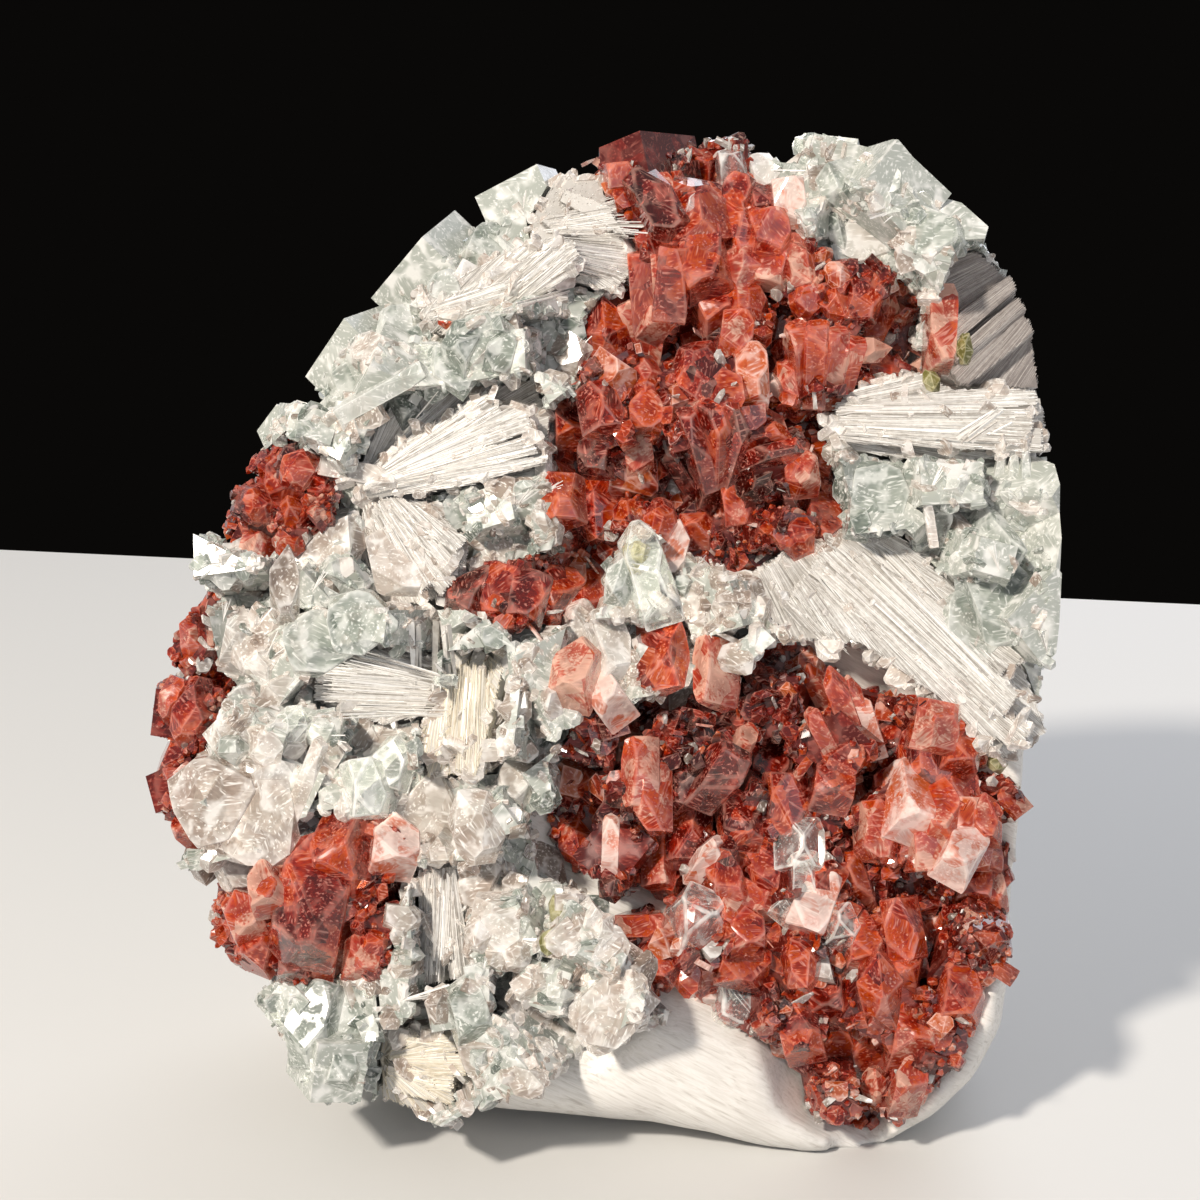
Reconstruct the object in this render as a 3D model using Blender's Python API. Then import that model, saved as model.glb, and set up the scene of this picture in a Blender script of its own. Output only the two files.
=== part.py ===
"""A free-standing specimen of scolecite on apophyllite, in metres, +Z up.

A massive white body is cut flat at the foot and polished along its right and lower rim. Its face leans back.
Two deep hollows in the face are lined with red apophyllite, pale druses cover the rest, and sprays of
scolecite lie over them. Everything is laid out in the face frame, in millimetres: x to the right, v up along
the face and y into the stone, with y = 0 at the polished surface. turn_to_world leans the pieces back.
"""

import math
import random
from dataclasses import dataclass

import bmesh
import bpy
import numpy as np
from mathutils import Matrix, Vector

# Driving dimensions, in millimetres unless the name says otherwise.
MM = 0.001
LEAN_DEG = 16.0
FOOT_THICKNESS = 72.0
CROWN_THICKNESS = 38.0
FACE_HEIGHT = 180.0
RIM_RADIUS = 8.0
RING_POINTS = 50
GAP = 0.5
WELD = 0.0005
FOOT_CLEARANCE = 1.0
CRUST_SEAT = 7.0
HOLLOW_DEPTH = 7.0
RIND = 2.0
RIND_FRONT = 3.0
RIND_BACK = 20.0
HOLLOW_BED = 9.0
# A crystal's shape: its length in widths, how far its end narrows, and how much of it stands above its root.
BLOCK_LENGTHS = (0.9, 1.4)
BLOCK_TAPERS = (1.0, 0.92, 0.8, 0.45)
RIM_BLOCK_LENGTHS = (0.8, 1.1)
RIM_BLOCK_TAPERS = (1.0, 0.9, 0.5)
CRYSTAL_LIFT = 0.18
CRYSTAL_SQUARENESS = 0.86
RIM_SINK = 0.25
RIM_LEAN_REACH = 9.0
RIM_LEAN = 0.9
RIM_SPACING = 1.25
# A needle bundle: its narrow root, and the needles' lengths as shares of the way from root to tip.
ROOT_WIDTH = 0.55
NEEDLE_LENGTHS = (0.82, 1.05)
NEEDLE_LIFTS = (0.7, 1.1)
ROOT_LIFT = 0.3
SPRAY_CROWN = 0.6
SIDE_PROFILE = ((0.45, 0.0), (0.8, 1.0), (0.95, 4.0), (1.0, 9.0))
RIM_ANGLES_DEG = (0, 30, 60, 90)
RIM_SEAT_SHARE = 0.8
GROUND_SIZE = 600.0
FACE_CENTRE = (4.0, 90.0)
FACE_RINGS = (0.87, 0.73, 0.59, 0.44, 0.29, 0.14)
BACK_RINGS = (0.5,)
CELL_FRONT = -30.0
CELL_BACK = 34.0
BOX_CENTRE = (-0.9, 38.0)

# The matrix's outline on the face, clockwise from the upper left. A smooth curve runs through the points.
MATRIX_OUTLINE = (
    (-12, 166), (5, 171), (20, 174), (38, 174), (50, 169), (61, 163), (70, 155), (75, 144), (77.8, 127),
    (78, 110), (77.6, 95), (76, 78), (74.6, 60), (73.6, 44), (72, 27), (68, 16), (60, 8.5), (52, 2.5),
    (43, 0), (34, 0.3), (20, 4), (5, 6.5), (-10, 7.5), (-27, 10), (-42, 16), (-50, 23), (-54, 32),
    (-60, 42), (-64, 52), (-70, 62), (-72, 76), (-70, 88), (-68, 99), (-63, 110), (-59, 121), (-51, 130),
    (-40, 141), (-30, 151), (-22, 160),
)
# Upper edge of the polished foot and, past x = 60, of the polished right rim: height v over x.
POLISH_LINE = (
    (-40, 2), (-30, 10), (-22, 15), (-12, 19), (0, 24), (7, 28.5), (19, 26), (28, 23), (34, 17), (37, 8),
    (42, 2), (47, 0), (50, 3), (54, 11), (61, 19), (64, 28), (69, 36), (73, 42), (80, 46),
)
POLISH_BLEND = 3.0
# Dents of the two hollows: centre x, centre v, half width, half height.
HOLLOWS = (
    (18, 148, 24, 28), (24, 122, 30, 20), (-8, 104, 22, 11), (46, 148, 16, 14),
    (26, 68, 38, 24), (47, 46, 30, 28), (45, 18, 11, 20),
)
DENT_EDGE = 1.35


# Shapes and curves

def smooth_ring(points, count):
    """Evenly spaced points on the closed smooth curve through the given points."""
    fine = []
    for i in range(len(points)):
        a, b, c, d = (Vector(points[(i + k) % len(points)]) for k in (-1, 0, 1, 2))
        for t in np.linspace(0.0, 1.0, 12, endpoint=False):
            fine.append(0.5 * (2 * b + (c - a) * t + (2 * a - 5 * b + 4 * c - d) * t**2
                               + (3 * b - a - 3 * c + d) * t**3))
    path = np.array(fine + fine[:1])
    along = np.concatenate([[0.0], np.cumsum(np.linalg.norm(np.diff(path, axis=0), axis=1))])
    stops = np.linspace(0.0, along[-1], count, endpoint=False)
    return [Vector((np.interp(s, along, path[:, 0]), np.interp(s, along, path[:, 1]))) for s in stops]


def grown(ring, distance):
    """The closed ring moved outwards by a distance, or inwards if it is negative."""
    turn = 1.0 if signed_area(ring) > 0 else -1.0
    moved = []
    for i, point in enumerate(ring):
        before = (point - ring[i - 1]).normalized()
        after = (ring[(i + 1) % len(ring)] - point).normalized()
        normal = Vector((before.y + after.y, -before.x - after.x))
        normal = normal.normalized() * turn
        side = Vector((after.y, -after.x)) * turn
        moved.append(point + normal * (distance / max(0.5, normal.dot(side))))
    return moved


def signed_area(ring):
    return 0.5 * sum(a.x * b.y - b.x * a.y for a, b in zip(ring, ring[1:] + ring[:1]))


def inside(point, ring):
    """Whether a point of the face lies inside a closed ring."""
    within = False
    for a, b in zip(ring, ring[1:] + ring[:1]):
        if (a.y > point.y) != (b.y > point.y):
            if point.x < a.x + (point.y - a.y) / (b.y - a.y) * (b.x - a.x):
                within = not within
    return within


def smoothstep(t):
    t = min(1.0, max(0.0, t))
    return t * t * (3 - 2 * t)


def in_hollow(x, v):
    """From 0 outside the hollows to 1 well inside one."""
    most = max(DENT_EDGE - ((x - cx) / rx)**2 - ((v - cv) / rv)**2 for cx, cv, rx, rv in HOLLOWS)
    return smoothstep(most / 0.8)


def seat_depth(x, v):
    """Depth of the matrix under the polished surface: none on the polished foot, most in the hollows."""
    edge = np.interp(x, [p[0] for p in POLISH_LINE], [p[1] for p in POLISH_LINE])
    growth = smoothstep(0.5 + (v - edge) / (2 * POLISH_BLEND))
    return growth * (CRUST_SEAT + HOLLOW_DEPTH * in_hollow(x, v))


def rim_seat(point):
    return RIM_SEAT_SHARE * seat_depth(point.x, point.y)


def thickness(v):
    return FOOT_THICKNESS + (CROWN_THICKNESS - FOOT_THICKNESS) * v / FACE_HEIGHT


# Building and joining

def add_ring(bm, points, depth_at):
    return [bm.verts.new((p.x, depth_at(p), p.y)) for p in points]


def skin(bm, rings, front, back):
    """Faces between neighbouring rings, closed by a fan to the front and the back point."""
    for near, far in zip(rings, rings[1:]):
        for i in range(len(near)):
            j = (i + 1) % len(near)
            bm.faces.new((near[i], near[j], far[j], far[i]))
    for ring, tip in ((rings[0], front), (rings[-1], back)):
        for i in range(len(ring)):
            bm.faces.new((ring[i], ring[(i + 1) % len(ring)], tip))
    bmesh.ops.recalc_face_normals(bm, faces=bm.faces)


def object_from(bm, name):
    mesh = bpy.data.meshes.new(name)
    bm.to_mesh(mesh)
    bm.free()
    made = bpy.data.objects.new(name, mesh)
    bpy.context.scene.collection.objects.link(made)
    return made


def prism(name, ring, front, back):
    """The ring extruded along the stone's depth."""
    bm = bmesh.new()
    outline = bm.faces.new([bm.verts.new((p.x, front, p.y)) for p in ring])
    swept = bmesh.ops.extrude_face_region(bm, geom=[outline])
    moved = [v for v in swept["geom"] if isinstance(v, bmesh.types.BMVert)]
    bmesh.ops.translate(bm, verts=moved, vec=(0, back - front, 0))
    bmesh.ops.recalc_face_normals(bm, faces=bm.faces)
    return object_from(bm, name)


def combine(target, other, operation, self_overlap=False):
    """Applies an exact Boolean between two objects and removes the second one."""
    step = target.modifiers.new("step", "BOOLEAN")
    step.operation = operation
    step.solver = "EXACT"
    step.use_self = self_overlap
    step.object = other
    bpy.context.view_layer.update()
    shaped = bpy.data.meshes.new_from_object(target.evaluated_get(bpy.context.evaluated_depsgraph_get()))
    target.modifiers.clear()
    spent = target.data
    target.data = shaped
    shaped.name = target.name
    bpy.data.meshes.remove(spent)
    bpy.data.meshes.remove(other.data)


def keep_largest_body(target):
    """Drops the crumbs that a cut leaves beside the main body."""
    bm = bmesh.new()
    bm.from_mesh(target.data)
    bmesh.ops.remove_doubles(bm, verts=bm.verts, dist=WELD)
    bodies = []
    waiting = set(bm.faces)
    while waiting:
        body = [waiting.pop()]
        for face in body:
            for edge in face.edges:
                fresh = [f for f in edge.link_faces if f in waiting]
                waiting.difference_update(fresh)
                body.extend(fresh)
        bodies.append(body)
    bodies.sort(key=lambda body: sum(f.calc_area() for f in body))
    bmesh.ops.delete(bm, geom=[f for body in bodies[:-1] for f in body], context="FACES")
    bmesh.ops.delete(bm, geom=[v for v in bm.verts if not v.link_faces], context="VERTS")
    bm.to_mesh(target.data)
    bm.free()


def add_block(bm, place, width, length, taper):
    """One crystal: a four-sided block along its own Z, its far end narrowed to taper times its width."""
    made = bmesh.ops.create_cube(bm, size=1.0)["verts"]
    far_end = [v for v in made if v.co.z > 0]
    bmesh.ops.scale(bm, verts=far_end, vec=(taper, taper, 1))
    bmesh.ops.scale(bm, verts=made, vec=(width, CRYSTAL_SQUARENESS * width, length))
    bmesh.ops.translate(bm, verts=made, vec=(0, 0, CRYSTAL_LIFT * length))
    bmesh.ops.transform(bm, verts=made, matrix=place)


def aim(direction, roll):
    """Rotation that turns +Z to a direction, after a roll about it."""
    return direction.to_track_quat("Z", "Y").to_matrix().to_4x4() @ Matrix.Rotation(roll, 4, "Z")


# The matrix

def matrix_body(name, extra):
    """The white body; extra moves every wall outwards, for cutting the room the crusts sit in."""
    bm = bmesh.new()
    centre = Vector(FACE_CENTRE)
    rim = grown(OUTLINE, -RIM_RADIUS)
    rings = []
    for scale in reversed(FACE_RINGS):
        ring = [centre + (p - centre) * scale for p in rim]
        rings.append(add_ring(bm, ring, lambda p: seat_depth(p.x, p.y)))
    for angle in RIM_ANGLES_DEG:
        drop = RIM_RADIUS * (1 - math.cos(math.radians(angle)))
        ring = grown(OUTLINE, -RIM_RADIUS * (1 - math.sin(math.radians(angle))))
        rings.append(add_ring(bm, ring, lambda p, drop=drop: max(drop, rim_seat(p))))
    for share, shrink in SIDE_PROFILE:
        ring = grown(OUTLINE, -shrink)
        rings.append(add_ring(bm, ring, lambda p, share=share: share * thickness(p.y)))
    for scale in BACK_RINGS:
        ring = [centre + (p - centre) * scale for p in grown(OUTLINE, -SIDE_PROFILE[-1][1])]
        rings.append(add_ring(bm, ring, lambda p: thickness(p.y)))
    front = bm.verts.new((centre.x, seat_depth(*centre), centre.y))
    back = bm.verts.new((centre.x, thickness(centre.y), centre.y))
    skin(bm, rings, front, back)
    bmesh.ops.triangulate(bm, faces=bm.faces)
    bm.normal_update()
    moves = [(v, v.normal * min(2.0, v.calc_shell_factor()) * extra) for v in bm.verts]
    for vertex, move in moves:
        vertex.co += move
    return object_from(bm, name)


def ground_box(clearance):
    """Everything below the floor, raised by a clearance, in the leaning face frame."""
    bm = bmesh.new()
    below = Matrix.Translation((0, 0, clearance - GROUND_SIZE / 2))
    bmesh.ops.create_cube(bm, size=GROUND_SIZE, matrix=below)
    bmesh.ops.transform(bm, verts=bm.verts, matrix=Matrix.Rotation(math.radians(LEAN_DEG), 4, "X"))
    return object_from(bm, "ground")


# Crusts, druses and sprays

@dataclass(frozen=True)
class Druse:
    """A crust of blocky crystals over one zone of the face."""

    name: str
    zone: tuple
    colour: tuple
    spacing: float
    width: tuple
    seed: int
    tilt_deg: float = 34.0
    bed: float = RIND_FRONT
    rim_rows: tuple = ()
    roughness: float = 0.25

    def shape(self):
        """The bed with its crystals, before it is trimmed to its zone."""
        dice = random.Random(self.seed)
        ring = [Vector(p) for p in self.zone]
        bm = bmesh.new()
        for spot in scattered(ring, self.spacing, dice):
            self.grow(bm, spot, dice)
        for depth in self.rim_rows:
            for spot, out in along_rim(ring, RIM_SPACING * self.spacing, dice):
                self.grow_on_rim(bm, spot, out, depth, dice)
        body = object_from(bm, self.name)
        bed = prism("bed", grown(OUTLINE, RIND), self.bed, RIND_BACK)
        combine(body, bed, "UNION", self_overlap=True)
        return body

    def grow(self, bm, spot, dice):
        """One crystal standing on the bed, leaning outwards near the rim."""
        width = dice.uniform(*self.width)
        out = rim_direction(spot)
        lean = math.radians(dice.uniform(0, self.tilt_deg))
        turn = dice.uniform(0, math.tau)
        sideways = math.sin(lean)
        direction = Vector((math.cos(turn) * sideways, -math.cos(lean), math.sin(turn) * sideways))
        direction = (direction + Vector((out.x, 0, out.y)) * RIM_LEAN).normalized()
        place = Matrix.Translation((spot.x, self.bed, spot.y)) @ aim(direction, turn_of(dice))
        add_block(bm, place, width, width * dice.uniform(*BLOCK_LENGTHS), dice.choice(BLOCK_TAPERS))

    def grow_on_rim(self, bm, spot, out, depth, dice):
        """One crystal standing on the side wall, behind the face."""
        width = dice.uniform(*self.width)
        direction = Vector((out.x, dice.uniform(-0.6, 0.3), out.y)).normalized()
        root = Vector((spot.x, depth + dice.uniform(-2, 2), spot.y)) - direction * RIM_SINK * width
        place = Matrix.Translation(root) @ aim(direction, turn_of(dice))
        add_block(bm, place, width, width * dice.uniform(*RIM_BLOCK_LENGTHS), dice.choice(RIM_BLOCK_TAPERS))


@dataclass(frozen=True)
class Spray:
    """A fan or bundle of scolecite needles, spreading from one end over its zone."""

    name: str
    zone: tuple
    root: tuple
    tip: tuple
    spread: tuple
    needles: int
    width: tuple
    seed: int
    lift: float = 3.0
    bed: float = 1.0
    colour: tuple = (0.86, 0.84, 0.78)
    roughness: float = 0.45

    def shape(self):
        """A bed with straight prismatic ridges that run from the root side to the tip side."""
        dice = random.Random(self.seed)
        root, tip = Vector(self.root), Vector(self.tip)
        across = Vector((root.y - tip.y, tip.x - root.x)).normalized()
        bm = bmesh.new()
        for i in range(self.needles):
            share = (i + 0.5) / self.needles * 2 - 1
            start = root + across * (share * self.spread[0] + dice.uniform(-0.4, 0.4))
            end = tip + across * (share * self.spread[1] + dice.uniform(-1, 1))
            end = start + (end - start) * dice.uniform(*NEEDLE_LENGTHS)
            crown = 1 - SPRAY_CROWN * share * share
            near = Vector((start.x, self.bed - ROOT_LIFT * self.lift * crown, start.y))
            far = Vector((end.x, self.bed - self.lift * crown * dice.uniform(*NEEDLE_LIFTS), end.y))
            width = dice.uniform(*self.width)
            place = Matrix.Translation((near + far) / 2) @ aim((far - near).normalized(), turn_of(dice))
            made = bmesh.ops.create_cube(bm, size=1.0)["verts"]
            bmesh.ops.scale(bm, verts=[v for v in made if v.co.z < 0], vec=(ROOT_WIDTH, ROOT_WIDTH, 1))
            bmesh.ops.scale(bm, verts=made, vec=(width, width, (far - near).length))
            bmesh.ops.transform(bm, verts=made, matrix=place)
        body = object_from(bm, self.name)
        bed = prism("bed", grown([Vector(p) for p in self.zone], -0.5), self.bed, RIND_BACK)
        combine(body, bed, "UNION", self_overlap=True)
        return body


def turn_of(dice):
    return dice.uniform(0, math.tau)


def scattered(ring, spacing, dice):
    """Points of a jittered triangular grid that lie in the ring."""
    xs = [p.x for p in ring]
    vs = [p.y for p in ring]
    spots = []
    row_height = spacing * math.sqrt(0.75)
    for row in range(int((max(vs) - min(vs)) / row_height) + 1):
        for column in range(int((max(xs) - min(xs)) / spacing) + 2):
            x = min(xs) + (column + 0.5 * (row % 2)) * spacing + dice.uniform(-0.3, 0.3) * spacing
            v = min(vs) + row * row_height + dice.uniform(-0.3, 0.3) * spacing
            spot = Vector((x, v))
            if inside(spot, ring) and inside(spot, grown(OUTLINE, RIND)):
                spots.append(spot)
    return spots


def along_rim(ring, spacing, dice):
    """Points on the rind's edge inside the ring, with the outward direction at each."""
    edge = grown(OUTLINE, RIND)
    length = sum((b - a).length for a, b in zip(edge, edge[1:] + edge[:1]))
    found = []
    for spot in smooth_ring([tuple(p) for p in edge], int(length / spacing)):
        spot = spot + Vector((dice.uniform(-1, 1), dice.uniform(-1, 1)))
        if inside(spot, ring):
            found.append((spot, outward_at(spot)))
    return found


def outward_at(spot):
    """The outline's outward direction at its point nearest to a spot."""
    i = min(range(len(OUTLINE)), key=lambda k: (OUTLINE[k] - spot).length)
    return (WIDE_OUTLINE[i] - OUTLINE[i]).normalized()


def rim_direction(spot):
    """How strongly a crystal at this spot leans out over the rim."""
    i = min(range(len(OUTLINE)), key=lambda k: (OUTLINE[k] - spot).length)
    nearness = 1 - (OUTLINE[i] - spot).length / RIM_LEAN_REACH
    return outward_at(spot) * max(0.0, nearness)


OUTLINE = smooth_ring(MATRIX_OUTLINE, RING_POINTS)
WIDE_OUTLINE = grown(OUTLINE, 5.0)

RED = (0.42, 0.09, 0.05)
GREEN = (0.62, 0.70, 0.64)
CLEAR = (0.74, 0.74, 0.70)

# Growths in order of right of way: each is trimmed to its zone, and makes room for those above it.
GROWTHS = (
    Spray("left_fan", ((-44, 121), (-37, 134), (-12, 138), (-9, 131), (-10, 123), (-25, 119), (-41, 117)),
          (-43, 119), (-12, 130), (1.5, 9), 5, (3.0, 4.8), 11, lift=6.0),
    Spray("upper_spray", ((-32, 147), (-31, 153), (-15, 160), (-4, 163), (-2, 158), (-13, 151),
          (-27, 145)), (-31, 149), (-4, 160), (2.5, 4.5), 4, (2.8, 4.2), 12, lift=4.0),
    Spray("crown_spray", ((-13, 166), (-8, 174), (0, 173), (1.5, 166), (7, 158), (2, 153), (-6, 155),
          (-12, 160)), (-9, 167), (4, 157), (5, 8), 4, (2.8, 4.2), 13, lift=3.5),
    Spray("middle_fan", ((-42, 117), (-31, 117), (-23, 109), (-25, 100), (-35, 98), (-43, 107)),
          (-40, 115), (-27, 102), (4, 8), 5, (2.2, 3.4), 14, lift=4.0),
    Spray("palm_spray", ((-50, 90), (-40, 92), (-29, 90), (-28, 80), (-38, 77), (-50, 81)), (-29, 85),
          (-49, 86), (4, 4), 4, (2.4, 3.6), 15, lift=4.5),
    Spray("cream_mass", ((-27, 90), (-17, 91), (-16, 80), (-19, 69), (-31, 68), (-32, 78), (-27.5, 80)),
          (-21, 90), (-26, 70), (5, 5), 3, (3.6, 5.0), 16, lift=5.0, colour=(0.86, 0.80, 0.66)),
    Spray("lower_bundle", ((-33, 54), (-24, 54), (-23, 33), (-31, 32)), (-29, 52), (-27, 34), (3, 4), 3,
          (2.4, 3.8), 17, lift=4.5),
    Spray("foot_cluster", ((-39, 24), (-25, 26), (-22, 15), (-31, 9), (-39, 12)), (-37, 19), (-24, 17),
          (5, 5), 4, (3.0, 4.4), 18, lift=4.0),
    Spray("level_bundle", ((39, 131), (43, 136), (55, 139.5), (62, 136), (77, 135), (78.3, 125),
          (60, 123), (44, 125)), (41, 130), (78, 130), (3, 5), 4, (3.2, 4.6), 19, lift=5.0),
    Spray("diagonal_bundle", ((27, 104), (34, 109), (52, 111), (63, 100), (74, 87), (78, 76), (70, 71),
          (59, 82), (45, 92), (34, 92), (29, 96)), (36, 104), (72, 78), (8, 9), 6, (3.6, 5.4), 20,
          lift=6.5),
    Spray("corner_fibres", ((60, 160), (66, 160.5), (71, 156), (75.3, 145), (77, 136), (62, 137),
          (56, 140)), (80, 156), (60, 140), (6, 6), 3, (3.4, 5.0), 21, lift=2.0, bed=2.0),
    Druse("green_ball", ((-62, 33), (-48, 33), (-39, 33), (-38, 22), (-39, 9), (-50, 5), (-66, 18)),
          GREEN, 9.5, (8, 12), 31, tilt_deg=45, bed=0.0, rim_rows=(4, 14)),
    Druse("left_edge_red", ((-90, 100), (-68, 101), (-67, 89), (-64, 83), (-67, 75), (-70, 69), (-69, 56),
          (-80, 52), (-92, 62)), RED, 11.0, (8.5, 11.5), 32, tilt_deg=45, rim_rows=(5, 15)),
    Druse("left_pocket_red", ((-66, 122), (-55, 128), (-46, 123), (-47, 113), (-52, 107), (-62, 107),
          (-72, 112)), RED, 8.5, (6.5, 9.5), 33, tilt_deg=40, rim_rows=(10,)),
    Druse("centre_druse", ((-31, 116), (-26, 120), (-10, 124), (-6, 118), (-9, 108), (-23, 104)), CLEAR,
          9.0, (7, 10), 43, tilt_deg=45, bed=2.0),
    Druse("lower_left_red", ((-76, 51), (-59, 56), (-53, 61), (-46, 63), (-35, 60), (-32, 55), (-35, 47),
          (-37, 36), (-48, 33), (-56, 32), (-74, 34)), RED, 11.0, (10, 15), 34, tilt_deg=35,
          rim_rows=(8,)),
    Druse("upper_red_crust", ((-1, 184), (25, 184), (26, 172), (30, 172), (34, 164), (40, 158), (52, 157),
          (57, 152), (53, 139), (41, 134), (40, 125), (43, 115), (39, 108), (33, 104), (24, 103),
          (17, 106), (8, 112), (2, 106), (0, 98), (-8, 95), (-18, 95), (-25, 99), (-23, 106), (-12, 109),
          (-7, 117), (-11, 131), (-4, 136), (-3, 150), (5, 157), (0, 166)), RED, 16.0, (12, 17.5), 51,
          tilt_deg=48, bed=HOLLOW_BED, rim_rows=(8,)),
    Druse("lower_red_crust", ((-3, 79), (6, 82), (15, 84), (24, 87), (30, 92), (36, 91), (44, 84),
          (52, 82), (63, 77), (69, 70), (73, 66), (72.5, 50), (71.5, 41), (69, 35), (64, 28), (63, 20),
          (54, 11), (49, 3), (44, 1), (39, 4), (36, 9), (33.5, 17), (28, 23), (19, 26), (7, 28.5),
          (8, 36), (3, 41), (-2, 47), (-11, 51), (-13, 61), (-8, 64), (-9, 71)), RED, 14.5, (11, 16.5),
          52, tilt_deg=48, bed=HOLLOW_BED),
    Druse("middle_ridge", ((-5, 98), (2, 108), (8, 115), (17, 108), (24, 105), (35, 105), (36, 90),
          (24, 84), (15, 81), (-2, 76), (-8, 86)), CLEAR, 13.5, (10, 15), 37, tilt_deg=45, bed=2.0),
    Druse("right_druse", ((38, 127), (60, 126), (78.2, 127), (78.4, 110), (78, 95), (76.4, 78), (75, 60),
          (73.8, 44), (71, 41), (71.5, 60), (66, 80), (56, 96), (45, 108), (40, 116)), GREEN, 13.0,
          (10, 15), 38, tilt_deg=45),
    Druse("top_right_druse", ((25, 184), (24, 170), (32, 160), (40, 156), (56, 144), (76, 146),
          (73.5, 153), (69, 160), (62, 168), (53, 175), (42, 186)), GREEN, 14.0, (10.5, 15), 39,
          tilt_deg=45, rim_rows=(5, 15)),
    Druse("upper_left_druse", ((-30, 180), (0, 184), (8, 160), (-1, 150), (-2, 134), (-8, 118),
          (-10, 106), (-24, 98), (-86, 98), (-86, 130), (-60, 155)), GREEN, 15.0, (12, 17.5), 40,
          tilt_deg=45, rim_rows=(10,)),
    Druse("left_clear_druse", ((-90, 102), (-5, 104), (4, 98), (-1, 80), (-6, 62), (-30, 56), (-60, 50),
          (-90, 50)), CLEAR, 15.0, (11.5, 17), 41, tilt_deg=45, rim_rows=(8,)),
    Druse("lower_clear_druse", ((-66, 62), (-10, 66), (4, 52), (14, 42), (14, 27), (0, 22), (-12, 17),
          (-24, 12), (-34, 7), (-46, 8)), CLEAR, 14.0, (10.5, 16), 42, tilt_deg=45, bed=2.0,
          rim_rows=(8,)),
)


def trimmed(growth, earlier):
    """One growth cut to its zone, clear of the matrix, of the floor and of the growths before it."""
    body = growth.shape()
    zone = [Vector(p) for p in growth.zone]
    combine(body, prism("zone", zone, CELL_FRONT, CELL_BACK), "INTERSECT")
    combine(body, matrix_body("room", GAP), "DIFFERENCE")
    combine(body, ground_box(FOOT_CLEARANCE), "DIFFERENCE")
    for other in earlier:
        if boxes_meet(growth.zone, other.zone):
            room = prism("room", grown([Vector(p) for p in other.zone], GAP), CELL_FRONT - 5, CELL_BACK + 5)
            combine(body, room, "DIFFERENCE")
    keep_largest_body(body)
    return body


def boxes_meet(first, second):
    for axis in (0, 1):
        low = max(min(p[axis] for p in first), min(p[axis] for p in second))
        high = min(max(p[axis] for p in first), max(p[axis] for p in second))
        if low > high + 1:
            return False
    return True


# Finishing

def plain_material(name, colour, roughness):
    material = bpy.data.materials.new(name)
    material.use_nodes = True
    shader = material.node_tree.nodes["Principled BSDF"]
    shader.inputs["Base Color"].default_value = (*colour, 1.0)
    shader.inputs["Roughness"].default_value = roughness
    shader.inputs["Metallic"].default_value = 0.0
    return material


def turn_to_world(made):
    """From the face frame in millimetres to the leaning, standing part in metres."""
    place = (Matrix.Translation((-BOX_CENTRE[0] * MM, -BOX_CENTRE[1] * MM, 0))
             @ Matrix.Rotation(math.radians(-LEAN_DEG), 4, "X") @ Matrix.Scale(MM, 4))
    made.data.transform(place)


def main():
    for old in list(bpy.data.objects):
        bpy.data.objects.remove(old, do_unlink=True)
    matrix = matrix_body("matrix", 0.0)
    combine(matrix, ground_box(0.0), "DIFFERENCE")
    made = [(matrix, (0.80, 0.77, 0.72), 0.3)]
    for i, growth in enumerate(GROWTHS):
        made.append((trimmed(growth, GROWTHS[:i]), growth.colour, growth.roughness))
    for body, colour, roughness in made:
        body.data.materials.clear()
        body.data.materials.append(plain_material(body.name, colour, roughness))
        turn_to_world(body)


main()
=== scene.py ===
"""Looks of a scolecite on apophyllite specimen: crystals, needles, polished stone, light and camera.

Lengths are in millimetres until a mesh is written, and metres after that. The front of the stone is a flat
face that leans back, with a chart of 1200 by 1200 squares laid over it, on which crystals have their places.
"""

import logging
import math
from dataclasses import dataclass, field
from enum import Enum, IntEnum
from functools import partial

import bmesh
import bpy
import numpy as np
from mathutils import Matrix, Vector, noise
from mathutils.bvhtree import BVHTree


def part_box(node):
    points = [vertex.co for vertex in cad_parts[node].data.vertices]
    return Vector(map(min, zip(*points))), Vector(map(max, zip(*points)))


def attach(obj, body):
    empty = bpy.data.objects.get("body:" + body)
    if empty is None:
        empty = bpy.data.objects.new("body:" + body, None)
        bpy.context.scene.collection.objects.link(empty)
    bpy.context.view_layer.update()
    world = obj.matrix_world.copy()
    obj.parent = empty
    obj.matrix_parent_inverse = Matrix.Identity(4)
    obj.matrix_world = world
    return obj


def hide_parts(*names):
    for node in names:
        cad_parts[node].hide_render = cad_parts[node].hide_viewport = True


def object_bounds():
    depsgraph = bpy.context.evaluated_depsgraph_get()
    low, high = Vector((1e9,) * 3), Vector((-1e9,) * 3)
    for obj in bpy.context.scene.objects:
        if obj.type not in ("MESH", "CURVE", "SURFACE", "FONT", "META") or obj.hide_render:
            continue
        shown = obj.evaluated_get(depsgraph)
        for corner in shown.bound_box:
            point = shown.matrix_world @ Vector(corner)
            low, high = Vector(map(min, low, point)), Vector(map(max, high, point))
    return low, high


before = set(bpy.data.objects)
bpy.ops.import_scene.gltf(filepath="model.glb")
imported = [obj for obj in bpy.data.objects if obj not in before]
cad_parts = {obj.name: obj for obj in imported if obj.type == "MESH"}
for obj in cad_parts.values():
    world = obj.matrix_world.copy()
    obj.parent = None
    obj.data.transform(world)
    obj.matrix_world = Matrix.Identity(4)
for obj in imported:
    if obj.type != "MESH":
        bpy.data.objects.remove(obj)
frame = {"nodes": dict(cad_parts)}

CAD_BOX = [list(corner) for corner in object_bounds()]
log = logging.getLogger("specimen")

Tree = bpy.types.NodeTree
Socket = bpy.types.NodeSocket
Dice = np.random.Generator

MM = 0.001
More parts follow.
